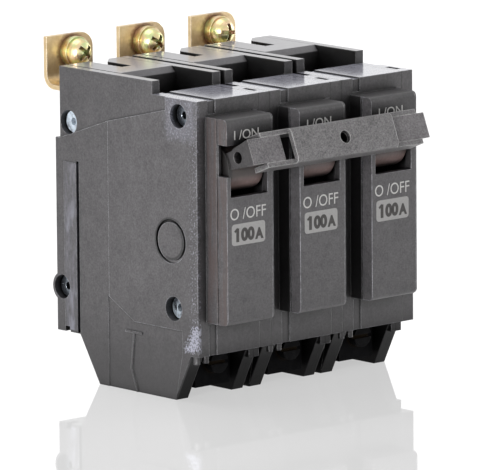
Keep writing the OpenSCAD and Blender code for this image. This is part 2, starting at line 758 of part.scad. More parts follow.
// Moulded handle: head with its tie hole, hub, trunnions and the fork that carries the contact arm
module handle(p) color("Gray") at_pole(p) at_handle() difference() {
    hole_y = tie_hole_back - handle_reach;
    union() {
        across(handle_x - head_w / 2, handle_x + head_w / 2) {
            polygon([[-handle_reach, -head_h / 2], [-handle_reach, head_h / 2],
                [hole_y, boss_r], [hole_y, -boss_r]]);
            disc([hole_y, 0], boss_r);
            translate([hole_y, -stem_half]) square([-hole_y, 2 * stem_half]);
        }
        rod(handle_x - hub_w / 2, handle_x + hub_w / 2, [0, 0], hub_r);
        rod(nose_x + bearing_skin + seat_gap, nose_end - bearing_skin - seat_gap, [0, 0], trunnion_r);
        for (x = [handle_x - ear_x - ear_t, handle_x + ear_x]) across(x, x + ear_t) {
            translate([0, -eye_r]) square([fork_len, 2 * eye_r]);
            disc([fork_len, 0], eye_r);
        }
    }
    rod(handle_x - head_w, handle_x + head_w, [hole_y, 0], tie_hole_r);
    if (p == (poles + 1) / 2) peg([tie_x, -handle_reach - over, 0], tie_hole_back + over, tie_eye_r);
    rod(handle_x - arm_w - ear_t, handle_x + arm_w + ear_t, [fork_len, 0], arm_pin_r + run_gap);
}

// Channel that ties the handles, cut back to its flanges over the outer ones
module handle_tie() color("Gray") at_pole((poles + 1) / 2) at_handle() difference() {
    flange_y = tie_flange - handle_reach;
    across(tie_x - tie_flange_half, tie_x + tie_flange_half) polygon(concat(
        [[flange_y, -head_h / 2], [-handle_reach, -head_h / 2], [-handle_reach, head_h / 2],
            [flange_y, head_h / 2], [flange_y, tie_half_h]],
        arc([tie_round - tie_out_u, tie_half_h - tie_round], tie_round, 90, 180),
        arc([tie_round - tie_out_u, tie_round - tie_half_h], tie_round, 180, 270),
        [[flange_y, -tie_half_h]]));
    for (side = [-1, 1]) translate([tie_x + side * (tie_web_half + tie_flange_half), 0, 0]) {
        cube([2 * tie_flange_half, 2 * handle_reach, head_h], center = true);
        translate([0, -tie_out_u, 0])
            cube([2 * tie_flange_half, 2 * tie_wall, 2 * tie_out_u], center = true);
    }
    peg([tie_x, -tie_out_u - over, 0], tie_wall + 2 * over, tie_eye_r);
}

// Copper contact arm with its pivot pins, closed
module contact_arm(p) color("Peru") at_pole(p) {
    across(handle_x - arm_w / 2, handle_x + arm_w / 2) {
        polygon([[fork_y, fork_z + arm_t / 2], [arm_bend_y, arm_top], [arm_tip_y, arm_top],
            [arm_tip_y, arm_top - arm_t], [arm_under_y, arm_top - arm_t], [fork_y, fork_z - arm_t / 2]]);
        disc([fork_y, fork_z], eye_r);
    }
    rod(handle_x - ear_x - ear_t, handle_x + ear_x + ear_t, [fork_y, fork_z], arm_pin_r);
}

// A silver contact button with its lower face at a height
module button(z)
    translate([handle_x, contact_y, z]) cylinder(h = contact_t, r = contact_r, $fn = rounds);

// Button on the contact arm
module moving_contact(p) color("Silver") at_pole(p) button(arm_top);

// Buttons under the line straps
module fixed_contacts() color("Silver") for (p = [1:poles]) at_pole(p) button(fixed_low);

// Cradle that carries the main spring, held by the latch until the breaker trips
module cradle(p) color("LightSteelBlue") at_pole(p) {
    difference() {
        across(cradle_x, cradle_x + cradle_t) {
            polygon([[cradle_y, cradle_z + cradle_eye_r], [hook_y, tip_top],
                [latch_face(tip_top), tip_top], [latch_face(lip_low), lip_low],
                [hook_y, tip_top - tip_deep], [cradle_y, cradle_z - cradle_eye_r]]);
            disc([cradle_y, cradle_z], cradle_eye_r);
        }
        rod(cradle_x - over, cradle_x + cradle_t + over, [cradle_y, cradle_z], cradle_pin_r + run_gap);
    }
    rod(handle_x - stud_end, cradle_x + bond, [stud_y, stud_z], stud_r);
}

// Main spring between the cradle's stud and the contact arm
module main_spring(p) color("Silver") at_pole(p) {
    low = stud_z + stud_r + spring_wire + spring_seat;
    high = arm_low_at(stud_y - spring_coil - spring_wire) - spring_wire - spring_seat;
    echo(main_spring_least_gap = coil_gap(spring_coil, spring_wire, high - low, spring_turns));
    translate([handle_x, stud_y, low])
        tube(coil(spring_coil, high - low, spring_turns), spring_wire, [0, 0, 1]);
}

// Armature on the trip bar, with the latch that holds the cradle's tip
module armature(p) color("LightSteelBlue") at_pole(p) {
    block([armature_x, armature_y, trip_z - armature_low],
        [armature_x + armature_w, latch_y, trip_z + trip_half_z + armature_head]);
    across(cradle_x - latch_margin, cradle_x + cradle_t + latch_margin) polygon([
        [armature_y, trip_z], [armature_y, lip_top], [latch_y + lip_run, lip_top],
        [latch_y, lip_low], [latch_y, trip_z]]);
}

// Moulded trip bar through all poles, with round journals in the walls between them
module trip_bar() color("Sienna") {
    at_pole(1) block([armature_x, trip_y - trip_half_y, trip_z - trip_half_z],
        [(poles - 1) * pole_pitch + armature_x + armature_w, trip_y + trip_half_y, trip_z + trip_half_z]);
    for (p = [1:poles - 1]) at_pole(p)
        rod(split_x + seat_gap, pole_pitch + side_wall - seat_gap, [trip_y, trip_z], trip_journal_r);
}

// Light spring that returns the trip bar, between the middle pole's front wall and the bar
module trip_spring() color("Silver") at_pole((poles + 1) / 2) {
    low = shell + trip_wire + seat_gap;
    high = trip_y - trip_half_y - trip_wire - seat_gap;
    echo(trip_spring_least_gap = coil_gap(trip_coil, trip_wire, high - low, trip_turns));
    translate([handle_x, low, trip_z + trip_half_z - trip_coil - trip_wire]) rotate([-90, 0, 0])
        tube(coil(trip_coil, high - low, trip_turns), trip_wire, [0, 0, 1]);
}

// Bimetal strip on the load strap
module bimetal(p) color("Goldenrod") at_pole(p) block([bimetal_x, lug_rear - bimetal_t, bimetal_z],
    [bimetal_x + bimetal_w, lug_rear, bimetal_z + bimetal_h]);

// Magnet yoke round the bimetal, with its poles towards the armature
module magnet_yoke(p) color("SlateGray") at_pole(p) {
    back = lug_rear + load_t;
    low = load_top - yoke_h;
    block([handle_x - yoke_in - yoke_t, back, low], [handle_x + yoke_in + yoke_t, back + yoke_t, load_top]);
    for (x = [handle_x - yoke_in - yoke_t, handle_x + yoke_in])
        block([x, yoke_legs_y, low], [x + yoke_t, back + yoke_t, load_top]);
}

// Flexible braid from the contact arm to the bimetal
module braid(p) color("Peru") at_pole(p) {
    side = handle_x - arm_w / 2;
    start_y = arm_bend_y - braid_lead;
    start_z = (arm_low_at(start_y) + arm_top) / 2 - braid_dip[0];
    end_z = bimetal_z + bimetal_h - braid_dip[4];
    tube(smooth([
        [side - seat_gap, start_y, start_z],
        [side - braid_out[0], start_y, start_z - braid_dip[1]],
        [side - braid_out[1], start_y + braid_back[0], start_z - braid_dip[2]],
        [side - braid_out[2], start_y, (start_z + end_z) / 2],
        [bimetal_x - braid_out[3], lug_rear + braid_back[1], end_z + braid_dip[3]],
        [bimetal_x - braid_out[4], lug_rear + braid_back[2], end_z],
        [bimetal_x - seat_gap, lug_rear - bimetal_t / 2, end_z]],
        braid_steps), braid_r, [0, 1, 0.3], 8);
}

// Steel plates of the arc chute, each with a throat for the arm
module arc_plates(p) color("LightSteelBlue") at_pole(p) {
    step = (chute_h - chute_plate_t - 2 * chute_margin) / (chute_plates - 1);
    left = side_wall + seat_gap + chute_side_t;
    right = split_x - seat_gap - chute_side_t;
    for (i = [0:chute_plates - 1]) translate([0, chute_y, chute_low + chute_margin + i * step])
        linear_extrude(chute_plate_t) polygon([
            [left, 0], [handle_x - throat_w / 2, 0], [handle_x - throat_w / 4, throat_deep],
            [handle_x + throat_w / 4, throat_deep], [handle_x + throat_w / 2, 0], [right, 0],
            [right, chute_depth], [left, chute_depth]]);
}

// Fibre sides of the arc chute
module arc_sides(p) color("Tan") at_pole(p)
    for (x = [side_wall + seat_gap, split_x - seat_gap - chute_side_t])
        block([x, chute_y, chute_low], [x + chute_side_t, chute_y + chute_depth, chute_top]);

// Line strap: a run into the case, a bend and a tab with one round corner and a screw hole
module line_strap(p) color("Goldenrod") at_pole(p) difference() {
    bend = [tab_y - bend_r, strap_top + bend_r];
    round_z = tab_top - tab_round;
    intersection() {
        across(strap_x, strap_x + strap_w) polygon(concat(
            [[strap_end_y, strap_low]], arc(bend, bend_r + strap_t, 270, 360),
            [[tab_back, tab_top], [tab_y, tab_top]], arc(bend, bend_r, 360, 270),
            [[strap_end_y, strap_top]]));
        union() {
            block([strap_x, strap_end_y - over, strap_low - over],
                [strap_x + strap_w, tab_back + over, round_z]);
            block([strap_x, strap_end_y - over, strap_low - over],
                [strap_x + strap_w - tab_round, tab_back + over, tab_top]);
            peg([strap_x + strap_w - tab_round, strap_end_y - over, round_z],
                tab_back - strap_end_y + 2 * over, tab_round);
        }
    }
    peg([screw_x, tab_y - over, screw_z], strap_t + 2 * over, screw_r + seat_gap);
}

// Places a piece that goes round a line screw, with +Z along the shank
module on_screws() for (p = [1:poles]) at_pole(p)
    translate([screw_x, tab_y, screw_z]) rotate([-90, 0, 0]) children();

// A line screw: a round head with a cross recess, and the shank that bolts the breaker on
module line_screws() color("Gold") for (p = [1:poles]) at_pole(p)
    translate([screw_x, tab_y, screw_z]) rotate([-90, 0, 0]) difference() {
        face = screw_stack + head_t;
        rotate_extrude($fn = rounds) polygon(concat(
            [[0, strap_t + screw_tail], [tail_r, strap_t + screw_tail], [tail_r, strap_t],
                [screw_r, strap_t], [screw_r, -screw_stack]],
            arc([0, dome_r - face], dome_r, asin((head_t - dome_r) / dome_r), -90, 8)));
        for (turn = [0, 90]) rotate(recess_turn[p - 1] + turn) translate([0, 0, -face])
            cube([recess[0], recess[1], 2 * recess[2]], center = true);
    }

// Spring washers on the tabs, each cut through once
module line_lock_washers() color("Gold") on_screws() difference() {
    translate([0, 0, -lock_t]) cylinder(h = lock_t, r = lock_r, $fn = rounds);
    translate([0, 0, -lock_t - over])
        cylinder(h = lock_t + 2 * over, r = screw_r + seat_gap, $fn = rounds);
    translate([-lock_cut / 2, -2 * lock_r, -lock_t - over])
        cube([lock_cut, 2 * lock_r, lock_t + 2 * over]);
}

// Flat washers under the heads
module line_washers() color("Gold") on_screws() difference() {
    translate([0, 0, -screw_stack]) cylinder(h = washer_t, r = washer_r, $fn = rounds);
    translate([0, 0, -screw_stack - over])
        cylinder(h = washer_t + 2 * over, r = screw_r + seat_gap, $fn = rounds);
}

// Load strap: a blade at the lug that narrows as it rises through the floor to the release
module load_strap(p) color("Goldenrod") at_pole(p) {
    block([lug_x - load_w / 2, lug_rear, load_low],
        [lug_x + load_w / 2, lug_rear + load_t, bimetal_z + load_lap]);
    block([bimetal_x, lug_rear, bimetal_z], [bimetal_x + bimetal_w, lug_rear + load_t, load_top]);
}

// Aluminium lug with its wire hole and screw hole
module lug(p) color("Silver") at_pole(p) difference() {
    block([lug_x - lug_w / 2, lug_y, lug_low], [lug_x + lug_w / 2, lug_rear, lug_roof]);
    translate([lug_x, wire_y, lug_low - over]) cylinder(h = lug_h + 2 * over, r = wire_r, $fn = rounds);
    peg([lug_x, lug_y - over, lug_screw_z], wire_y - lug_y, lug_screw_r);
}

// Slotted lug screw, backed out clear of the wire hole
module lug_screw(p) color("SlateGray") at_pole(p) difference() {
    peg([lug_x, lug_screw_y, lug_screw_z], lug_screw_len, lug_screw_r - run_gap);
    block([lug_x - 2 * lug_screw_r, lug_screw_y - over, lug_screw_z - lug_slot[0] / 2],
        [lug_x + 2 * lug_screw_r, lug_screw_y + lug_slot[1], lug_screw_z + lug_slot[0] / 2]);
}

// Tubular rivets through all poles, with rolled heads in their sinks
module case_rivets() color("Silver") at_pole(1) for (at = rivets)
    translate([rivet_sink - rivet_flange, at[0], at[1]]) rotate([0, 90, 0]) {
        long = poles * pole_pitch - 2 * (rivet_sink - rivet_flange);
        rotate_extrude($fn = rounds) polygon([
            [rivet_bore, 0], [rivet_head_r, 0], [rivet_head_r, rivet_flange], [rivet_r, rivet_flange],
            [rivet_r, long - rivet_flange], [rivet_head_r, long - rivet_flange],
            [rivet_head_r, long], [rivet_bore, long]]);
    }

for (p = [1:poles]) {
    case_base(p);
    case_cover(p);
    handle(p);
    contact_arm(p);
    moving_contact(p);
    cradle(p);
    main_spring(p);
    armature(p);
    bimetal(p);
    magnet_yoke(p);
    braid(p);
    arc_plates(p);
    arc_sides(p);
    line_strap(p);
    load_strap(p);
    lug(p);
    lug_screw(p);
}
handle_tie();
trip_bar();
trip_spring();
case_rivets();
fixed_contacts();
line_screws();
line_lock_washers();
line_washers();
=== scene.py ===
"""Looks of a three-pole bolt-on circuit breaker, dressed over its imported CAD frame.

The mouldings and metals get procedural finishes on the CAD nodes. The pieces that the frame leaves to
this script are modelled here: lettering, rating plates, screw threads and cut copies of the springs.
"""

import functools
import json
import logging
import math
from contextlib import contextmanager
from dataclasses import dataclass
from enum import Enum
from typing import Any, Callable, Iterator, Mapping, Optional, Sequence, Union

import bpy
from mathutils import Matrix, Vector

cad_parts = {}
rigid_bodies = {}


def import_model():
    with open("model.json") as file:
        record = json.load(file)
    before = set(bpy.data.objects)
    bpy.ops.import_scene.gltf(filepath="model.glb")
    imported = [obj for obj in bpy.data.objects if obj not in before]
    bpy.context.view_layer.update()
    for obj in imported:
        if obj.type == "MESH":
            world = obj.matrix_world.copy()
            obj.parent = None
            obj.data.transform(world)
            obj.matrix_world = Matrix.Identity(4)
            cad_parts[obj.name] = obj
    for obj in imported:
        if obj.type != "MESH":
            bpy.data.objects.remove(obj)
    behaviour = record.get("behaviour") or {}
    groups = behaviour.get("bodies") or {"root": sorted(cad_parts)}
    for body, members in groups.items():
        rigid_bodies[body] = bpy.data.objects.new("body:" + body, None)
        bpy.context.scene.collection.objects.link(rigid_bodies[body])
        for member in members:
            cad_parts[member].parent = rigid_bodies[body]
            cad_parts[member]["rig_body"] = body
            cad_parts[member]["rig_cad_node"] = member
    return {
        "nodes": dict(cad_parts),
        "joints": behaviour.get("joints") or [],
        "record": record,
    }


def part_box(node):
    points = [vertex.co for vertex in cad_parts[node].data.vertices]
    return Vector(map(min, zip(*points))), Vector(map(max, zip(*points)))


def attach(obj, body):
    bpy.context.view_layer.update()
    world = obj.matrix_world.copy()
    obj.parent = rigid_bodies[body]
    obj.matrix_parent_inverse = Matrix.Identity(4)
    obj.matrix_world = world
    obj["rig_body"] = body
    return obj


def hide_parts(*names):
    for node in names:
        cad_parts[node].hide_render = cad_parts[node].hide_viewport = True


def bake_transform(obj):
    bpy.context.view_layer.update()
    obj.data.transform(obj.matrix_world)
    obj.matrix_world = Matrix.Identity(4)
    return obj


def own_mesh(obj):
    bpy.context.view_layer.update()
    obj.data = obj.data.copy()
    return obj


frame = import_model()

LOG = logging.getLogger("breaker")
MM = 0.001
POLES = (1, 2, 3)
NOSE_MM = 8.2  # How far a nose stands out of its shoulder.
SHOULDER_MM = 3.4  # How far the shoulders lie under the top of the side walls.
MERGE_FINE = 1e-7  # Reach within which points of a new piece are one, in metres.
MERGE_CAD = 1e-6  # The same for a copy of a CAD node.

Colour = tuple[float, float, float]
Pair = tuple[float, float]
Point = tuple[float, float, float]
Box = tuple[float, float, float, float]


def shade(red: int, green: int, blue: int) -> Colour:
    """Gives the linear colour of a display colour, whose parts go from 0 to 255."""
    parts = [value / 255 for value in (red, green, blue)]
    return tuple(p / 12.92 if p <= 0.04045 else ((p + 0.055) / 1.055) ** 2.4 for p in parts)


def dim(colour: Colour, share: float) -> Colour:
    """Gives a colour at a share of its brightness."""
    return tuple(share * part for part in colour)


def worker(operation: str, reflected: bool = False) -> Callable[["Sock", "Value"], "Sock"]:
    """Makes an operator of sockets.

    Args:
        operation: What its Math node does.
        reflected: Whether the socket is the right-hand value.

    Returns:
        The operator.
    """
    def work(sock: "Sock", other: "Value") -> "Sock":
        """Adds the operator's Math node."""
        return sock.maths(operation, *((other, sock) if reflected else (sock, other)))

    return work


class Sock:
    """A node's output that takes part in shader maths."""

    def __init__(self, paint: "Paint", socket: Optional[bpy.types.NodeSocket]) -> None:
        """Keeps the socket and the paint that it belongs to."""
        self.paint = paint
        self.socket = socket

    def maths(self, operation: str, *values: "Value") -> "Sock":
        """Adds a Math node for numbers or sockets, and gives its result."""
        return self.paint.node("ShaderNodeMath", {"operation": operation}, dict(enumerate(values)))

    __add__, __radd__ = worker("ADD"), worker("ADD", True)
    __sub__, __rsub__ = worker("SUBTRACT"), worker("SUBTRACT", True)
    __mul__, __rmul__ = worker("MULTIPLY"), worker("MULTIPLY", True)
    __truediv__, __rtruediv__ = worker("DIVIDE"), worker("DIVIDE", True)

    def __neg__(self) -> "Sock":
        """Turns the sign round."""
        return 0 - self

    def most(self, other: "Value") -> "Sock":
        """Takes the larger value."""
        return self.maths("MAXIMUM", self, other)

    def size(self) -> "Sock":
        """Drops the sign."""
        return self.maths("ABSOLUTE", self)

    def wrap(self, period: float) -> "Sock":
        """Repeats the value from 0 to a period."""
        return self.maths("FLOORED_MODULO", self, period)

    def about(self, period: float) -> "Sock":
        """Repeats the value around 0, over a period."""
        return (self + period / 2).wrap(period) - period / 2

    def length(self, other: "Sock") -> "Sock":
        """Gives the length of the diagonal over two sides."""
        return self.maths("POWER", self * self + other * other, 0.5)

    def step(self, low: float, high: float) -> "Sock":
        """Ramps smoothly from 0, at a low value, to 1, at a high one."""
        return self.paint.node("ShaderNodeMapRange", {"interpolation_type": "SMOOTHSTEP"},
                               {"Value": self, "From Min": low, "From Max": high})

    def band(self, low: float, high: float, soft: float) -> "Sock":
        """Gives 1 within a band of values and 0 outside it, with edges of a given softness."""
        return self.step(low - soft, low + soft) * (1 - self.step(high - soft, high + soft))


Value = Union[Sock, float, Sequence[float]]


class Paint:
    """A material, or the surroundings, put together from nodes."""

    def __init__(self, owner: Union[bpy.types.Material, bpy.types.World]) -> None:
        """Starts with an empty node tree.

        Args:
            owner: What the nodes belong to.
        """
        owner.use_nodes = True
        self.owner = owner
        self.tree = owner.node_tree
        self.tree.nodes.clear()

    @classmethod
    def named(cls, name: str) -> "Paint":
        """Starts an empty material of that name."""
        return cls(bpy.data.materials.new(name))

    def node(self, kind: str, settings: Optional[Mapping[str, Any]] = None,
             sockets: Optional[Mapping[Any, "Value"]] = None, out: Union[int, str] = 0) -> Sock:
        """Adds a node.

        Args:
            kind: The node's type.
            settings: Its properties.
            sockets: Values or links of its inputs, by name or number.
            out: The output that is wanted.

        Returns:
            That output.
        """
        made = self.tree.nodes.new(kind)
        for key, value in (settings or {}).items():
            setattr(made, key, value)
        for key, value in (sockets or {}).items():
            if isinstance(value, Sock):
                self.tree.links.new(value.socket, made.inputs[key])
            else:
                made.inputs[key].default_value = value
        return Sock(self, made.outputs[out] if len(made.outputs) else None)

    def place(self, scale: Sequence[float]) -> Sock:
        """Gives the object's coordinates, scaled along X, Y and Z."""
        at = self.node("ShaderNodeTexCoord", out="Object")
        return self.node("ShaderNodeMapping", None, {"Vector": at, "Scale": scale})

    def axis(self, letter: str) -> Sock:
        """Gives one coordinate in millimetres."""
        at = self.node("ShaderNodeTexCoord", out="Object")
        return self.node("ShaderNodeSeparateXYZ", None, {"Vector": at}, letter) / MM

    def facing(self, letter: str) -> Sock:
        """Gives one part of the surface's direction, from -1 to 1."""
        normal = self.node("ShaderNodeNewGeometry", out="Normal")
        return self.node("ShaderNodeSeparateXYZ", None, {"Vector": normal}, letter)

    def noise(self, size_mm: float, detail: float = 3, pace: Sequence[float] = (1, 1, 1)) -> Sock:
        """Gives noise around 0.5, by its spots' size, its finer layers and its pace along X, Y and Z."""
        return self.node("ShaderNodeTexNoise", None, {
            "Vector": self.place(pace), "Scale": 1 / (size_mm * MM), "Detail": detail, "Roughness": 0.6})

    def blend(self, share: "Value", first: Any, second: Any) -> Sock:
        """Mixes two colours, by the second one's share."""
        ends = [c if isinstance(c, Sock) else (*c, 1) for c in (first, second)]
        return self.node("ShaderNodeMix", {"data_type": "RGBA"}, {0: share, 6: ends[0], 7: ends[1]}, 2)

    def soft_normal(self, radius_mm: float) -> Sock:
        """Gives the surface's direction with its edges rounded."""
        return self.node("ShaderNodeBevel", {"samples": 6}, {"Radius": radius_mm * MM})

    def edges(self, radius_mm: float) -> Sock:
        """Marks the outer edges.

        Args:
            radius_mm: How far from the edge the mark reaches.

        Returns:
            About 0.3 at a square outer edge, and 0 on flat faces and inner corners.
        """
        flat = self.node("ShaderNodeNewGeometry", out="Normal")
        turn = 1 - self.node("ShaderNodeVectorMath", {"operation": "DOT_PRODUCT"},
                             {0: self.soft_normal(radius_mm), 1: flat}, "Value")
        return turn * self.openness(radius_mm * 2).step(0.55, 0.9)

    def openness(self, reach_mm: float) -> Sock:
        """Gives how open the surface's surroundings are, within a reach."""
        return self.node("ShaderNodeAmbientOcclusion", {"samples": 6}, {"Distance": reach_mm * MM}, "AO")

    def bump(self, height: Sock, depth_mm: float, normal: Sock) -> Sock:
        """Bumps a surface's direction by a height from 0 to 1, which stands for a real depth."""
        return self.node("ShaderNodeBump", None, {
            "Height": height, "Distance": depth_mm * MM, "Strength": 1.0, "Normal": normal})

    def surface(self, **sockets: "Value") -> bpy.types.Material:
        """Ends the material with a Principled surface.

        Args:
            sockets: The surface's inputs, with _ for a space in their names.

        Returns:
            The finished material.
        """
        inputs = {key.replace("_", " "): value for key, value in sockets.items()}
        self.close(self.node("ShaderNodeBsdfPrincipled", None, inputs))
        return self.owner

    def close(self, shader: Sock) -> None:
        """Links a shader to the material's output."""
        self.node("ShaderNodeOutputMaterial", None, {"Surface": shader})


@dataclass(frozen=True)
class Moulding:
    """A satin thermoset moulding with fine grain and mottles, painted shade in its corners and deep hollows,
    and pale edge wear that also paints its edges' highlights.

    Attributes:
        name: Name of the material.
        colour: The moulding's own colour.
        wear_and_glint: Colour of the pale edge wear, which also stands in as the edges' painted highlight.
        rough: Roughness of its plain faces.
        grain_mm: Size of its grain.
        grain_depth_mm: Depth of its grain.
        edge_mm: Radius of its edges.
        wear: How strongly its edges get pale edge wear and painted highlights.
        speckle: How strongly its grain shows.
        corner_shade_mm: How far the painted shade reaches out of its corners.
        hollow_mm: How near two faces have to be for the space between them to be painted black as shade.
        cloud_mm: Size of its large, faint clouds.
        mottle_mm: Size of its mottles.
        rub_mm: Size of the rubbed patches along its edges.
        sheen_mm: Size of the patches of more and less gloss.
    """

    name: str
    colour: Colour
    wear_and_glint: Colour
    rough: float = 0.4
    grain_mm: float = 0.5
    grain_depth_mm: float = 0.02
    edge_mm: float = 0.4
    wear: float = 0.8
    speckle: float = 2.0
    corner_shade_mm: float = 1.2
    hollow_mm: float = 6
    cloud_mm: float = 6
    mottle_mm: float = 1.3
    rub_mm: float = 1.5
    sheen_mm: float = 1.6

    def hollow_shade(self, paint: Paint) -> Sock:
        """Marks the deep hollows, which are painted black as shade, without gloss."""
        return 1 - paint.openness(self.hollow_mm).step(0.12, 0.7)

    def tone(self, paint: Paint, hollow_shade: Sock) -> Sock:
        """Mixes the moulding's colour with its mottles and grain, and paints shade into its corners and
        hollows.

        Args:
            paint: The material.
            hollow_shade: Mark of the deep hollows that are painted black as shade.

        Returns:
            The mixed colour.
        """
        clouds = (paint.noise(self.cloud_mm) - 0.5) * 0.8
        mottles = (paint.noise(self.mottle_mm, 2) - 0.5) * 0.7
        grain = (paint.noise(self.grain_mm) - 0.5) * self.speckle
        tone = paint.blend(0.5 + clouds + mottles + grain, dim(self.colour, 0.5), dim(self.colour, 1.5))
        # Painted shade: corners darken, and deep hollows go near black.
        corner_shade = 1 - paint.openness(self.corner_shade_mm).step(0.3, 0.95)
        return paint.blend((corner_shade * 0.85).most(hollow_shade * 0.92), tone, dim(self.colour, 0.1))

    def rubbed_and_highlit(self, paint: Paint) -> Sock:
        """Marks the edges for pale edge wear from handling, which also paints their highlights."""
        patches = 0.3 + paint.noise(self.rub_mm, 4).step(0.38, 0.6)
        return paint.edges(self.edge_mm).step(0.02, 0.2) * patches * self.wear

    def tint(self, paint: Paint, colour: Sock, rubbed_and_highlit: Sock) -> Sock:
        """Adds the marks that only this moulding has: none here."""
        return colour

    def gloss(self, paint: Paint) -> Sock:
        """Gives the roughness of its faces."""
        return self.rough + (paint.noise(self.sheen_mm) - 0.5) * 0.2

    def skin(self, paint: Paint) -> "Value":
        """Gives the weight of a glossy skin: none here."""
        return 0.0

    def material(self) -> bpy.types.Material:
        """Builds the moulding's material.

        Returns:
            The material.
        """
        paint = Paint.named(self.name)
        rubbed_and_highlit, hollow_shade = self.rubbed_and_highlit(paint), self.hollow_shade(paint)
        plain = paint.blend(rubbed_and_highlit, self.tone(paint, hollow_shade), self.wear_and_glint)
        grain = paint.noise(self.grain_mm)
        # Metallic follows the painted hollow shade, so the hollows show no gloss.
        return paint.surface(
            Base_Color=self.tint(paint, plain, rubbed_and_highlit), Roughness=self.gloss(paint) + rubbed_and_highlit * 0.1,
            Normal=paint.bump(grain, self.grain_depth_mm, paint.soft_normal(self.edge_mm)), IOR=1.5,
            Metallic=hollow_shade * 0.9, Coat_Weight=self.skin(paint), Coat_Roughness=0.12)


@dataclass(frozen=True)
class Patch:
    """A soft-edged patch of the left side, in millimetres.

    Attributes:
        depth: Where it starts and ends behind the front of the shoulders.
        height: Where it starts and ends above the feet.
        soft: Width of its soft edges in depth and in height.
    """

    depth: Pair
    height: Pair
    soft: Pair

    def mark(self, depth: Sock, height: Sock) -> Sock:
        """Marks the patch, from a point's depth and height."""
        return depth.band(*self.depth, self.soft[0]) * height.band(*self.height, self.soft[1])


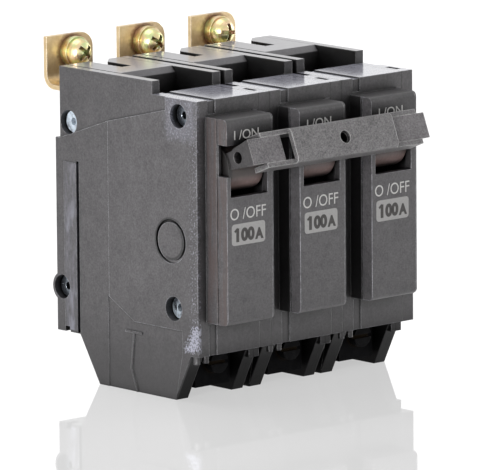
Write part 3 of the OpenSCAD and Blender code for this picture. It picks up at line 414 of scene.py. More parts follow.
@dataclass(frozen=True)
class CaseMoulding(Moulding):
    """The poles' moulding, with painted sheen on its glossy shoulders, a dusty film and painted sheen on the
    decks, dark seams, the left side's scuffed patches and painted sheen, and painted shade low down, in
    crevices and between the noses.

    Places and sizes are in millimetres.

    Attributes:
        left_x: The outer left face.
        front_y: Front of the shoulders.
        shoulder_z: Height of the shoulders.
        deck_z: Height of the decks.
        pitch: Width of a pole.
        cover: Thickness of a pole's cover.
        ring: Depth and height of the round mark on the left side.
        ring_r: Outer radius of that mark.
        ring_lip: Width of that mark's groove.
        strip: Scuffs along the front edge.
        hole: Painted bluish sheen, speckled, round the front hole.
        pad: Painted bluish sheen, in streaks, on the rear pad.
        corner_z: Low and high end of the scuffs at the lower corner.
        leg_z: Heights below which the legs are painted dark as shade, and above which they aren't.
        brow_z: Heights from which a nose's front darkens with painted shadow, and at which it is darkest.
        shaft_mm: Reach of the shade between the noses.
        crease_mm: Reach of the painted shade lines in creases.
        seam_mm: Reach of the dark lines along the joints.
        warm: Colour of the first nose's streaks.
        dust_and_sheen: Colour of the decks' dusty film, which also stands in as their painted sheen.
        polish: Painted sheen on the shoulders' tops, a pale bluish colour in place of their reflection.
        lit: Painted light on the groove's floor.
        scuff_and_sheen_tone: Colour of the scuffed patches and of the painted sheen.
    """

    left_x: float = 0
    front_y: float = 0
    shoulder_z: float = 0
    deck_z: float = 0
    pitch: float = 0
    cover: float = 3.9
    ring: Pair = (0, 0)
    ring_r: float = 5.8
    ring_lip: float = 0.75
    strip: Patch = Patch((-0.5, 2.8), (18, 79.5), (1.2, 1))
    hole: Patch = Patch((1, 12), (68.5, 79.5), (1.6, 1.6))
    pad: Patch = Patch((47.2, 52.2), (13, 57.4), (0.3, 0.3))
    corner_z: Pair = (13.4, 20.8)
    leg_z: Pair = (7, 17)
    brow_z: Pair = (52, 68)
    shaft_mm: float = 14
    crease_mm: float = 0.6
    seam_mm: float = 0.36
    warm: Colour = shade(80, 66, 63)
    dust_and_sheen: Colour = shade(180, 178, 183)
    polish: Colour = shade(206, 206, 222)
    lit: Colour = shade(176, 174, 176)
    scuff_and_sheen_tone: Colour = shade(176, 177, 192)

    def across(self, paint: Paint) -> Sock:
        """Gives the distance from the outer left face."""
        return paint.axis("X") - self.left_x

    def depth(self, paint: Paint) -> Sock:
        """Gives the depth behind the front of the shoulders."""
        return paint.axis("Y") - self.front_y

    def inside(self, paint: Paint) -> Sock:
        """Marks all but the outer left face."""
        return self.across(paint).step(0.4, 0.9)

    def shoulder(self, paint: Paint) -> Sock:
        """Marks the shoulders' smooth tops."""
        level = paint.axis("Z").band(self.shoulder_z - 0.7, self.shoulder_z + 0.5, 0.2)
        return level * paint.facing("Z").step(0.7, 0.95)

    def deck(self, paint: Paint) -> Sock:
        """Marks the tops behind the shoulders, which get a dusty film and painted sheen."""
        level = paint.axis("Z").step(self.deck_z - 1.8, self.deck_z - 1.2)
        return level * paint.facing("Z").step(0.6, 0.9)

    def seams(self, paint: Paint, wide: float) -> Sock:
        """Marks the joints between poles, and between a base and its cover.

        Args:
            paint: The material.
            wide: How far the mark reaches from the joint.

        Returns:
            1 at a joint and 0 away from it.
        """
        across = self.across(paint)
        pole = 1 - across.about(self.pitch).size().step(0.3 * wide, wide)
        cover = 1 - (across + self.cover).about(self.pitch).size().step(0.2 * wide, 0.6 * wide)
        return across.band(0.5, len(POLES) * self.pitch - 0.5, 0.1) * pole.most(cover)

    def rubbed_and_highlit(self, paint: Paint) -> Sock:
        """Marks the edges for pale edge wear and painted highlights, but not those along the joints."""
        return super().rubbed_and_highlit(paint) * (1 - self.seams(paint, 1.2))

    def ring_shading(self, paint: Paint) -> tuple[Sock, Sock]:
        """Marks the painted shade and light of the round mark's groove on the left side.

        Args:
            paint: The material.

        Returns:
            Marks of the painted shade lines, outside the groove behind and inside it in front, and of the
            painted light on its floor.
        """
        y, z = paint.axis("Y") - self.ring[0], paint.axis("Z") - self.ring[1]
        side, far = 1 - self.across(paint).step(1, 1.4), y.length(z)
        # Painted shade and light by where the light falls: the outer line is dark behind, the inner line dark
        # in front, and the floor in front is painted light.
        behind = (y + z * 0.7).step(-4, 2.5)
        outer = far.band(self.ring_r - 0.1, self.ring_r + 0.4, 0.15) * behind
        inner = far.band(self.ring_r - 2 * self.ring_lip, self.ring_r - self.ring_lip, 0.15) * (1 - behind)
        floor = far.band(self.ring_r - self.ring_lip, self.ring_r - 0.05, 0.1) * (1 - behind)
        return side * outer.most(inner), side * floor

    def scuffs_and_sheen(self, paint: Paint) -> Sock:
        """Marks the whitish scuffed patches on the left side's front edge and lower corner, and the painted
        bluish sheen round the front hole and on the rear pad.

        Args:
            paint: The material.

        Returns:
            1 on scuffed patches and painted sheen, and 0 away from them.
        """
        depth, z = self.depth(paint), paint.axis("Z")
        fine, streaks = paint.noise(0.5, 4), paint.noise(3, pace=(1, 1, 0.3))
        ragged = (paint.noise(2.4) - 0.5) * 3
        slant = 1 - (depth + ragged + z * 0.5).step(10, 14)
        corner = slant * (z + ragged).band(*self.corner_z, 1.2) * depth.step(-0.4, 0.1)
        marks = (
            (fine + corner * 0.22).step(0.58, 0.76) * corner.step(0.02, 0.3),
            self.strip.mark(depth, z) * fine.step(0.54, 0.68) * 0.6,
            # Round the front hole and on the rear pad, the pale marks are painted bluish sheen.
            self.hole.mark(depth + ragged, z + ragged) * (0.18 + fine.step(0.5, 0.66) * 0.4),
            self.pad.mark(depth, z) * (0.06 + streaks.step(0.46, 0.7) * 0.4))
        return (1 - self.across(paint).step(0.4, 1.4)) * functools.reduce(Sock.most, marks)

    def flanks(self, paint: Paint) -> Sock:
        """Marks the warm streaks on the first nose's left side.

        Args:
            paint: The material.

        Returns:
            1 on a streak and 0 away from it.
        """
        ahead = 1 - self.depth(paint).step(-1, -0.4)
        first = 1 - self.across(paint).step(self.pitch / 2, self.pitch / 2 + 1)
        aside = (-paint.facing("X")).step(0.7, 0.95)
        return ahead * aside * first * paint.noise(0.8, pace=(1, 1, 0.05)).step(0.35, 0.65)

    def hollow_shade(self, paint: Paint) -> Sock:
        """Marks the deep hollows, and the legs, which stand in the dark."""
        # The legs are painted dark as shade.
        legs = self.inside(paint) * (1 - paint.axis("Z").step(*self.leg_z))
        return super().hollow_shade(paint).most(legs)

    def shaded_walls(self, paint: Paint) -> Sock:
        """Marks the faces turned to the left that get painted shade: behind the later noses' edges, in the
        vents and in the wells.

        Args:
            paint: The material.

        Returns:
            How strongly a face is painted in shade, from 0 to 1.
        """
        x, depth, half = self.across(paint), self.depth(paint), self.pitch / 2
        noses = x.step(half, half + 1) * depth.step(-4.4, -3.8)
        vents = self.inside(paint) * depth.step(0.5, 1.5)
        wells = x.wrap(self.pitch).step(half, half + 1) * (1 - depth.step(-1, -0.5))
        return (-paint.facing("X")).step(0.6, 0.9) * (noses * 0.9).most(vents * 0.82).most(wells * 0.5)

    def shaded_places(self, paint: Paint, rubbed_and_highlit: Sock) -> Sock:
        """Marks the places painted in shade as their shadows: planes deep between the noses, side faces,
        vents, and the noses' brows and tops.

        Args:
            paint: The material.
            rubbed_and_highlit: Mark of the pale edge wear and painted highlights, which stay clear of the
                painted shade on brows and tops.

        Returns:
            How strongly a place is painted in shade, from 0 to 1.
        """
        depth, ahead = self.depth(paint), (-paint.facing("Y")).step(0.6, 0.9)
        # Painted shadows: deep between the noses, on the later noses' flanks, in the vents, on the noses'
        # brows under the tie, and on the nose tops.
        shafts = 1 - paint.openness(self.shaft_mm).step(0.4, 0.9)
        vents = depth.step(2, 4) * self.inside(paint) * 0.6
        fronts = ahead * (1 - depth.step(0.3 - NOSE_MM, 0.8 - NOSE_MM))
        brows = fronts * paint.axis("Z").step(*self.brow_z) * 0.4
        tops = (1 - depth.step(-0.8, -0.3)) * paint.facing("Z").step(0.15, 0.5) * 0.55
        fixed = (ahead * shafts.most(vents)).most(self.shaded_walls(paint))
        return fixed.most(tops.most(brows) * (1 - rubbed_and_highlit * 0.9))

    def tint(self, paint: Paint, colour: Sock, rubbed_and_highlit: Sock) -> Sock:
        """Adds painted shade low down, between and on the noses and in the vents; warm streaks; a dusty film
        with painted sheen on the decks; painted sheen on the shoulders; painted shade in each crease and
        along the ring's groove, with painted light on its floor; scuffed patches and painted sheen on the
        left side; and dark seams, one over the other.

        Args:
            paint: The material.
            colour: The plain colour.
            rubbed_and_highlit: Mark of the pale edge wear and painted highlights.

        Returns:
            The colour with these marks.
        """
        # Painted shade: darker towards the bottom, and somewhat towards the rear.
        low = (1 - paint.axis("Z").step(-6, 36)).most(self.depth(paint).step(15, 65) * 0.3)
        # Painted shade lines in creases.
        crease_shade = 1 - paint.openness(self.crease_mm).step(0.5, 0.97)
        line, floor = self.ring_shading(paint)
        # Near black: painted shade, and the dark of the seams.
        soot_and_shade = dim(self.colour, 0.04)
        layers = (
            (low * 0.9, dim(self.colour, 0.25)),
            (self.shaded_places(paint, rubbed_and_highlit) * 0.95, soot_and_shade),
            (self.flanks(paint) * 0.7, self.warm),
            # The decks' dusty film also paints their sheen.
            (self.deck(paint) * 0.75, self.dust_and_sheen),
            # Painted sheen: the shoulders' pale bluish tops.
            (self.shoulder(paint) * 0.92, self.polish),
            (crease_shade.most(line) * 0.8, soot_and_shade),
            (floor * 0.35, self.lit),
            # Scuffed patches, and painted bluish sheen.
            (self.scuffs_and_sheen(paint) * 0.8, self.scuff_and_sheen_tone),
            (self.seams(paint, self.seam_mm) * 0.9, soot_and_shade))
        for share, tone in layers:
            colour = paint.blend(share, colour, tone)
        return colour

    def gloss(self, paint: Paint) -> Sock:
        """Gives smoother shoulders and rougher scuffs."""
        plain = super().gloss(paint) + self.scuffs_and_sheen(paint) * 0.2
        return plain - self.shoulder(paint) * (self.rough - 0.2)

    def skin(self, paint: Paint) -> "Value":
        """Gives the glossy skin of the shoulders and the worn decks."""
        return self.shoulder(paint) + self.deck(paint) * 0.6


@dataclass(frozen=True)
class HandleMoulding(Moulding):
    """The handles' moulding, whose hub is reddish brown in its well, with painted shade round the band and on
    the left sides.

    Attributes:
        pivot: Depth and height of the handles' axis.
        hub: Radius of the hub.
        middle: Place of the first hub across.
        pitch: Distance from hub to hub.
        half: Half the width of a hub's brown band.
        brown: Colour of the band, at its lower and upper end; the darker upper end is the lever's painted
            shadow.
        hub_shade: Colour of the hub beside the band, near black as painted shade.
        side: Colour of the left sides, dark as painted shade.
    """

    pivot: Pair = (0, 0)
    hub: float = 6.5
    middle: float = 0
    pitch: float = 25.4
    half: float = 5.4
    brown: tuple[Colour, Colour] = (shade(142, 122, 119), shade(56, 48, 46))
    hub_shade: Colour = shade(18, 15, 15)
    side: Colour = shade(24, 22, 23)

    def tint(self, paint: Paint, colour: Sock, rubbed_and_highlit: Sock) -> Sock:
        """Browns the hub's front, paints shade round its brown band, and paints shade on the left sides.

        Args:
            paint: The material.
            colour: The plain colour.
            rubbed_and_highlit: Mark of the pale edge wear and painted highlights; not used.

        Returns:
            The colour with these marks.
        """
        x = (paint.axis("X") - self.middle).about(self.pitch)
        y, z = paint.axis("Y") - self.pivot[0], paint.axis("Z") - self.pivot[1]
        hub = 1 - y.length(z).step(self.hub + 0.2, self.hub + 0.8)
        ahead = (-paint.facing("Y")).step(0.2, 0.5) * z.step(-6.2, -4.2)
        streaks = 0.55 + paint.noise(0.7, pace=(1, 1, 0.1)) * 0.7
        band = ahead * x.band(-self.half, self.half, 0.4) * streaks
        # Painted shade: the band darkens upwards as the lever's shadow, and the hub round it is near black.
        hub_brown_and_shade = paint.blend(band, self.hub_shade, paint.blend(z.step(-4.4, -1.2), *self.brown))
        # Painted shade on the left sides.
        sides = (-paint.facing("X")).step(0.85, 0.97) * 0.8
        return paint.blend(hub, paint.blend(sides, colour, self.side), hub_brown_and_shade)


@dataclass(frozen=True)
class Metal:
    """A bare or plated metal with patches, fine scratches, dark recesses and brighter edges.

    Attributes:
        name: Name of the material.
        colour: The metal's colour.
        tint: Colour of its patches.
        edge: Colour of its bright edges.
        rough: Roughness of its faces.
        patch_mm: Size of its patches.
        scratch: Pace of its scratches along X, Y and Z, which are long where it is low.
        scratch_mm: Size of its scratches.
        scratch_depth_mm: Depth of its scratches.
        edge_mm: Radius of its edges.
        recess_mm: How far the darkening reaches out of its recesses.
        recess_tone: Colour that its recesses are darkened towards.
    """

    name: str
    colour: Colour
    tint: Colour
    edge: Colour
    rough: float = 0.3
    patch_mm: float = 2.5
    scratch: Point = (1, 1, 0.08)
    scratch_mm: float = 0.25
    scratch_depth_mm: float = 0.006
    edge_mm: float = 0.2
    recess_mm: float = 1.6
    recess_tone: Colour = shade(46, 38, 28)

    def stains(self, paint: Paint, colour: Sock) -> Sock:
        """Adds the stains that only this metal has: none here."""
        return colour

    def painted_glint(self, paint: Paint) -> "Value":
        """Marks where a glint is painted on: nowhere here."""
        return 0.0

    def material(self) -> bpy.types.Material:
        """Builds the metal's material.

        Returns:
            The material.
        """
        paint = Paint.named(self.name)
        patches = paint.noise(self.patch_mm).step(0.35, 0.68)
        scratches = paint.noise(self.scratch_mm, pace=self.scratch)
        colour = paint.blend(patches * 0.8, self.colour, self.tint)
        colour = paint.blend(paint.edges(self.edge_mm).step(0.03, 0.2) * 0.8, colour, self.edge)
        closed = 1 - paint.openness(self.recess_mm).step(0.35, 0.8)
        colour = self.stains(paint, paint.blend(closed * 0.9, colour, self.recess_tone))
        rough = self.rough + (scratches - 0.5) * 0.25 + patches * 0.08 + closed * 0.3
        normal = paint.bump(scratches, self.scratch_depth_mm, paint.soft_normal(self.edge_mm))
        # A painted glint turns Metallic down, so the glint is a pale diffuse colour.
        return paint.surface(Base_Color=colour, Roughness=rough, Normal=normal,
                             Metallic=1 - 0.8 * self.painted_glint(paint))


@dataclass(frozen=True)
class StrapMetal(Metal):
    """The straps' brass, darker brown round the line screws.

    Attributes:
        screw: Place of the first screw's axis across and in height.
        pitch: Distance from screw to screw.
        ring: Radius of the screws' washers.
        brown: Colour of the ring round each screw.
    """

    screw: Pair = (0, 0)
    pitch: float = 25.4
    ring: float = 4
    brown: Colour = shade(120, 88, 70)

    def stains(self, paint: Paint, colour: Sock) -> Sock:
        """Paints a brown ring round each screw.

        Args:
            paint: The material.
            colour: The plain colour.

        Returns:
            The colour with the brown rings.
        """
        x, z = (paint.axis("X") - self.screw[0]).about(self.pitch), paint.axis("Z") - self.screw[1]
        far = x.length(z) + (paint.noise(0.9) - 0.5) * 1.6
        ring = 1 - far.step(self.ring + 0.2, self.ring + 1.6)
        return paint.blend(ring * 0.75, colour, self.brown)


@dataclass(frozen=True)
class ZincPlate(Metal):
    """Yellow zinc plating with a faint rainbow film.

    Attributes:
        green: Colour of the film where it is thick.
        pink: Colour of the film where it is thin.
        film_mm: Size of the film's patches.
    """

    green: Colour = shade(190, 216, 158)
    pink: Colour = shade(226, 184, 160)
    film_mm: float = 2.2

    def stains(self, paint: Paint, colour: Sock) -> Sock:
        """Adds the film's two colours.

        Args:
            paint: The material.
            colour: The plain colour.

        Returns:
            The colour with the film.
        """
        film = paint.noise(self.film_mm, 2)
        colour = paint.blend(film.step(0.5, 0.62) * 0.6, colour, self.green)
        return paint.blend((0.5 - film).step(0, 0.12) * 0.5, colour, self.pink)


@dataclass(frozen=True)
class RivetMetal(Metal):
    """The rivets' steel. On the left side a glint is painted on the rear upper head, and in part on the front
    lower one.

    Attributes:
        bright: Place across up to which heads can get a painted glint, and the depth and height between the
            heads.
        pale: Colour of the glint painted on a head.
    """

    bright: Point = (0, 0, 0)
    pale: Colour = shade(216, 228, 240)

    def painted_glint(self, paint: Paint) -> "Value":
        """Marks the heads that get a painted glint.

        Args:
            paint: The material.

        Returns:
            1 where a head gets a painted glint, in patches on the front lower one, and 0 elsewhere.
        """
        x, y, z = self.bright
        behind, above = paint.axis("Y").step(y, y + 1), paint.axis("Z").step(z, z + 1)
        wear_and_glint = behind * above + (1 - behind) * (1 - above) * paint.noise(2.6, 2).step(0.4, 0.6) * 0.7
        return wear_and_glint * (1 - paint.axis("X").step(x, x + 0.5))

    def stains(self, paint: Paint, colour: Sock) -> Sock:
        """Paints the glint on the heads."""
        return paint.blend(self.painted_glint(paint) * paint.noise(1.5, 2).step(0.2, 0.6), colour, self.pale)


@dataclass(frozen=True)
class Ink:
    """A printed mark, slightly worn and uneven.

    Attributes:
        name: Name of the material.
        colour: The ink's colour.
        faded: Its colour where it is thin.
        thin_mm: Size of its thin places.
        sheen_mm: Size of the patches of more and less gloss.
    """

    name: str
    colour: Colour
    faded: Colour
    thin_mm: float = 0.35
    sheen_mm: float = 0.6

    def material(self) -> bpy.types.Material:
        """Builds the ink's material.

        Returns:
            The material.
        """
        paint = Paint.named(self.name)
        thin = paint.noise(self.thin_mm).step(0.45, 0.75) * 0.5
        return paint.surface(Base_Color=paint.blend(thin, self.colour, self.faded),
                             Roughness=0.5 + (paint.noise(self.sheen_mm, 2) - 0.5) * 0.2)


@dataclass(frozen=True)
class Seat:
    """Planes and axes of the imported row, read from its boxes, joints and mounts.

    They are in metres where no other unit is given.

    Attributes:
        left_x: Outer left face.
        pitch: Width of a pole.
        nose_y: Front of the noses.
        front_y: Front of the shoulders.
        top_z: Top of the side walls.
        pivot: Depth and height of the handles' axis, in millimetres.
        trip: Depth and height of the trip bar's axis, in millimetres.
        pole_mid: Middle of a handle from its pole's left face, in millimetres.
        stud: Middle of the first line screw's tail.
        tail: Length of that tail, in millimetres.
    """

    left_x: float
    pitch: float
    nose_y: float
    front_y: float
    top_z: float
    pivot: Pair
    trip: Pair
    pole_mid: float
    stud: Point
    tail: float

    @classmethod
    def read(cls) -> "Seat":
        """Reads the planes from the poles' boxes, and the axes from the record.

        Returns:
            The planes and axes.
        """
        low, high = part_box("case_base_1")
        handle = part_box("handle_1")
        axes = {joint["name"]: joint.get("pos_m") for joint in frame["joints"]}
        pivot, trip = (tuple(part / MM for part in axes[name][1:])
                       for name in ("handle_swing", "release_turn"))
        mount = next(m for m in frame["record"]["mounts"] if m["name"] == "line_stud_1")
        return cls(left_x=low[0], pitch=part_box("case_base_2")[0][0] - low[0], nose_y=low[1],
                   front_y=low[1] + NOSE_MM * MM, top_z=high[2], pivot=pivot, trip=trip,
                   pole_mid=((handle[0][0] + handle[1][0]) / 2 - low[0]) / MM,
                   stud=tuple(mount["pos_m"]), tail=mount["dims"]["length_mm"])

    def upright(self, pole: int, x_mm: float, out_mm: float, z_mm: float) -> Matrix:
        """Places a flat piece upright on a nose.

        Args:
            pole: The pole's number, from the left.
            x_mm: Distance from the pole's left face.
            out_mm: Distance in front of the nose.
            z_mm: Height above the feet.

        Returns:
            The place in the row's frame.
        """
        left = self.left_x + (pole - 1) * self.pitch
        spot = Vector((left + x_mm * MM, self.nose_y - out_mm * MM, z_mm * MM))
        return Matrix.Translation(spot) @ Matrix.Rotation(math.pi / 2, 4, "X")


class Workshop:
    """Modelling steps that the pieces share."""

    @staticmethod
    def clear() -> None:
        """Deselects everything."""
        bpy.ops.object.select_all(action="DESELECT")

    @staticmethod
    @contextmanager
    def editing() -> Iterator[None]:
        """Opens the active mesh with all of it selected, and closes it at the end.

        Returns:
            The span in which the mesh is open.
        """
        bpy.ops.object.mode_set(mode="EDIT")
        bpy.ops.mesh.select_all(action="SELECT")
        yield
        bpy.ops.object.mode_set(mode="OBJECT")

    @staticmethod
    def merge(reach: float) -> None:
        """Merges the active mesh's points within a reach, and turns its faces outwards.

        Args:
            reach: The reach in metres.
        """
        with Workshop.editing():
            bpy.ops.mesh.remove_doubles(threshold=reach)
            bpy.ops.mesh.normals_make_consistent(inside=False)

    @staticmethod
    def name(piece: str) -> bpy.types.Object:
        """Names the active object and its mesh.

        Args:
            piece: The new name.

        Returns:
            The object.
        """
        made = bpy.context.object
        made.name = made.data.name = piece
        return made

    @staticmethod
    def settle(made: bpy.types.Object, place: Matrix) -> None:
        """Puts an object in place and moves that place into its mesh.

        Args:
            made: The object.
            place: Where it goes.
        """
        made.matrix_world = place
        bpy.ops.object.transform_apply(location=True, rotation=True, scale=True)
        Workshop.merge(MERGE_FINE)

    @staticmethod
    def dress(made: bpy.types.Object, material: bpy.types.Material, body: str, slot: str) -> None:
        """Gives a piece its finish and its body.

        Args:
            made: The piece.
            material: Its finish.
            body: The body that it rides on.
            slot: The record's slot that it takes its finish from; not used.
        """
        made.data.materials.clear()
        made.data.materials.append(material)
        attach(made, body)
        LOG.info("%s: %d faces on %s", made.name, len(made.data.polygons), body)


class Words(Enum):
    """The generic marks on a nose: words, left, right, low, high, and how far the strokes swell."""

    ON = ("I /ON", 5.6, 14.1, 69.5, 71.9, 0.004)
    OFF = ("O /OFF", 4.1, 16.4, 48.7, 51.7, 0.0)
    RATING = ("00", 7.7, 12.4, 42.9, 46.45, 0.06)
    UNIT = ("A", 12.55, 15.5, 42.9, 45.9, 0.06)


@dataclass
class FrontMarks:
    """Printed marks and rating plates on the noses' fronts.

    Attributes:
        seat: Planes of the row.
        ink_mm: Thickness of the ink.
        plate_mm: Thickness of the plate.
        plate_box: Left, right, low and high of the plate.
        plate_round_mm: Radius of the plate's corners.
        one_box: Left, right, low and high of the first figure's stem.
        flag_mm: Length and width of that figure's flag.
        flag_turn: Slant of that flag in degrees.
        curve_steps: Steps in a letter's curve and in a corner of the plate.
        rise: Height of the letters before they are pressed to the ink's thickness.
    """

    seat: Seat
    ink_mm: float = 0.02
    plate_mm: float = 0.04
    plate_box: Box = (4.55, 16.1, 42.0, 47.6)
    plate_round_mm: float = 0.9
    one_box: Box = (6.05, 7.05, 42.9, 46.45)
    flag_mm: Pair = (1.35, 0.62)
    flag_turn: float = 38
    curve_steps: int = 6
    rise: float = 0.01

    def words(self, pole: int, mark: Words, out_mm: float) -> bpy.types.Object:
        """Models one line of lettering as a thin solid.

        Args:
            pole: The pole's number.
            mark: The words and their place.
            out_mm: How far in front of the nose they lie.

        Returns:
            The lettering.
        """
        text, left, right, low, high, swell = mark.value
        Workshop.clear()
        bpy.ops.object.text_add()
        letters = bpy.context.object
        letters.data.body = text
        letters.data.resolution_u = self.curve_steps
        letters.data.offset = swell
        letters.data.extrude = self.rise
        bpy.ops.object.convert(target="MESH")
        letters = Workshop.name(f"{mark.name.lower()}_mark_{pole}")
        corners = [Vector(c) for c in letters.bound_box]
        span = [max(c[i] for c in corners) - min(c[i] for c in corners) for i in range(3)]
        start = Vector(min(c[i] for c in corners) for i in range(3))
        size = ((right - left) * MM / span[0], (high - low) * MM / span[1], self.ink_mm * MM / span[2])
        place = self.seat.upright(pole, left, out_mm, low)
        Workshop.settle(letters, place @ Matrix.Diagonal((*size, 1)) @ Matrix.Translation(-start))
        return letters

    def plate(self, pole: int) -> bpy.types.Object:
        """Models a rating plate with round corners.

        Args:
            pole: The pole's number.

        Returns:
            The plate.
        """
        left, right, low, high = (value * MM for value in self.plate_box)
        Workshop.clear()
        bpy.ops.mesh.primitive_plane_add(size=1)
        bpy.ops.transform.resize(value=(right - left, high - low, 1))
        bpy.ops.object.transform_apply(scale=True)
        with Workshop.editing():
            bpy.ops.mesh.bevel(offset=self.plate_round_mm * MM, segments=self.curve_steps, affect="VERTICES")
            bpy.ops.mesh.select_all(action="SELECT")
            bpy.ops.mesh.extrude_region_move(TRANSFORM_OT_translate={"value": (0, 0, self.plate_mm * MM)})
        plate = Workshop.name(f"rating_plate_{pole}")
        across, up = sum(self.plate_box[:2]) / 2, sum(self.plate_box[2:]) / 2
        Workshop.settle(plate, self.seat.upright(pole, across, 0, up))
        return plate

    def bar(self, wide: float, high: float) -> bpy.types.Object:
        """Models a flat bar of ink.

        Args:
            wide: Its width.
            high: Its height.

        Returns:
            The bar.
        """
        Workshop.clear()
        bpy.ops.mesh.primitive_cube_add(size=MM)
        bpy.ops.transform.resize(value=(wide, high, self.ink_mm))
        bpy.ops.object.transform_apply(scale=True)
        return bpy.context.object

    def one(self, pole: int) -> bpy.types.Object:
        """Models the rating's first figure: a stem with a slanted flag.

        Args:
            pole: The pole's number.

        Returns:
            The figure.
        """
        left, right, low, high = self.one_box
        self.bar(right - left, high - low)
        stem = Workshop.name(f"rating_one_{pole}")
        flag = self.bar(*self.flag_mm)
        corner = Vector(((left - right) / 2, (high - low - 1.5 * self.flag_mm[1]) / 2, 0)) * MM
        slant = Matrix.Rotation(math.radians(self.flag_turn), 4, "Z")
        flag.matrix_world = Matrix.Translation(corner) @ slant
        bpy.context.view_layer.update()
        Workshop.clear()
        stem.select_set(True)
        bpy.context.view_layer.objects.active = stem
        weld = stem.modifiers.new("weld", "BOOLEAN")
        weld.operation = "UNION"
        weld.object = flag
        bpy.ops.object.modifier_apply(modifier=weld.name)
        bpy.data.objects.remove(flag)
        across, up = (left + right) / 2, (low + high) / 2
        Workshop.settle(stem, self.seat.upright(pole, across, self.plate_mm + self.ink_mm / 2, up))
        return stem

    def build(self) -> None:
        """Builds and dresses every mark."""
        pale = Ink("pale_print", shade(196, 195, 193), shade(150, 149, 148)).material()
        grey = Ink("plate_print", shade(160, 159, 158), shade(138, 137, 136)).material()
        dark = Ink("dark_print", shade(50, 47, 46), shade(70, 67, 65)).material()
        on_nose, on_plate = self.ink_mm / 2, self.plate_mm + self.ink_mm / 2
        for pole in POLES:
            pieces = ((self.words(pole, Words.ON, on_nose), pale),
                      (self.words(pole, Words.OFF, on_nose), pale),
                      (self.plate(pole), grey),
                      (self.one(pole), dark),
                      (self.words(pole, Words.RATING, on_plate), dark),
                      (self.words(pole, Words.UNIT, on_plate), dark))
            for piece, print_ink in pieces:
                Workshop.dress(piece, print_ink, "case", "case_moulding")


@dataclass
class ScrewThreads:
    """Threads round the tails of the line screws.

    Attributes:
        seat: Planes and axes of the row.
        metal: Finish of the screws.
        root_mm: Radius at the root, just under the tail's face.
        crest_mm: Radius at the crest.
        lead_mm: Distance from turn to turn.
        steps: Facets in a turn.
    """

    seat: Seat
    metal: bpy.types.Material
    root_mm: float = 1.95
    crest_mm: float = 2.38
    lead_mm: float = 0.8
    steps: int = 28

    def thread(self, pole: int) -> bpy.types.Object:
        """Models one thread: a three-sided ridge that winds round the tail.

        Args:
            pole: The pole's number, from the left.

        Returns:
            The thread.
        """
        turns = int(self.seat.tail / self.lead_mm) - 1
        height = self.crest_mm - self.root_mm
        # The middle of a triangle lies at a third of its height, and its tip two thirds further out.
        Workshop.clear()
        bpy.ops.mesh.primitive_circle_add(vertices=3, radius=height * MM / 1.5)
        with Workshop.editing():
            bpy.ops.transform.rotate(value=-math.pi / 2, orient_axis="Z", center_override=(0, 0, 0))
            bpy.ops.transform.rotate(value=math.pi / 2, orient_axis="X", center_override=(0, 0, 0))
            bpy.ops.transform.translate(value=((self.root_mm + height / 3) * MM, 0, 0))
        ridge = Workshop.name(f"screw_thread_{pole}")
        wind = ridge.modifiers.new("wind", "SCREW")
        wind.axis = "Z"
        wind.steps = wind.render_steps = self.steps
        wind.screw_offset = self.lead_mm * MM
        wind.iterations = turns
        bpy.ops.object.modifier_apply(modifier=wind.name)
        with Workshop.editing():
            bpy.ops.mesh.select_mode(type="EDGE")
            bpy.ops.mesh.select_all(action="DESELECT")
            bpy.ops.mesh.select_non_manifold()
            bpy.ops.mesh.fill()
        middle = Vector(self.seat.stud) + Vector(((pole - 1) * self.seat.pitch, 0, 0))
        start = Matrix.Translation((0, 0, -turns * self.lead_mm * MM / 2))
        Workshop.settle(ridge, Matrix.Translation(middle) @ Matrix.Rotation(-math.pi / 2, 4, "X") @ start)
        return ridge

    def build(self) -> None:
        """Builds and dresses every thread."""
        for pole in POLES:
            Workshop.dress(self.thread(pole), self.metal, "case", "yellow_zinc")


@dataclass
class Springs:
    """Copies of the CAD coil springs, which stand in for the hidden nodes.

    Attributes:
        metal: Finish of the springs.
        arm_keep: Share of a main spring's upper half that is left when the handles are off; not used.
        bar_keep: Share of the trip spring that is left when the trip bar has turned; not used.
    """

    metal: bpy.types.Material
    arm_keep: float = 0.68
    bar_keep: float = 0.82

    def copy(self, node: str, name: str) -> bpy.types.Object:
        """Copies a CAD spring as a free piece with a merged mesh, which then stands for it.

        Args:
            node: The CAD node.
            name: The piece's name.

        Returns:
            The piece.
        """
        Workshop.clear()
        source = frame["nodes"][node]
        source.select_set(True)
        bpy.context.view_layer.objects.active = source
        bpy.ops.object.duplicate()
        made = Workshop.name(name)
        made.parent = None
        del made["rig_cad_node"], made["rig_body"]
        made.data.materials.clear()
        made.data.materials.append(self.metal)
        Workshop.merge(MERGE_CAD)
        LOG.info("%s: copy of %s", name, node)
        return made

    @staticmethod
    def cut(height: float, above: bool) -> None:
        """Cuts the active spring at a height and closes the cut.

        Args:
            height: Height of the cut.
            above: Whether the part above the cut stays.
        """
        with Workshop.editing():
            bpy.ops.mesh.bisect(plane_co=(0, 0, height), plane_no=(0, 0, 1), use_fill=True,
                                clear_inner=above, clear_outer=not above)
            bpy.ops.mesh.select_all(action="SELECT")
            bpy.ops.mesh.normals_make_consistent(inside=False)

    def main_spring(self, pole: int) -> None:
        """Cuts copies of a main spring at its middle into a foot and a top, hangs the top on the case, and
        hides the CAD node.

        Args:
            pole: The pole's number.
        """
        node = f"main_spring_{pole}"
        low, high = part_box(node)
        middle = (low + high) / 2
        foot = self.copy(node, f"main_spring_foot_{pole}")
        self.cut(middle.z, False)
        top = self.copy(node, f"main_spring_top_{pole}")
        self.cut(middle.z, True)
        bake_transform(foot)
        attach(top, "case")
        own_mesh(top)
        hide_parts(node)
        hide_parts(node)

    def trip_spring(self) -> None:
        """Copies the trip spring, hangs the copy on the case, and hides the CAD node."""
        made = self.copy("trip_spring", "trip_spring_coil")
        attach(made, "case")
        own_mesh(made)
        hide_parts("trip_spring")

    def build(self) -> None:
        """Builds every spring."""
        for pole in POLES:
            self.main_spring(pole)
        self.trip_spring()


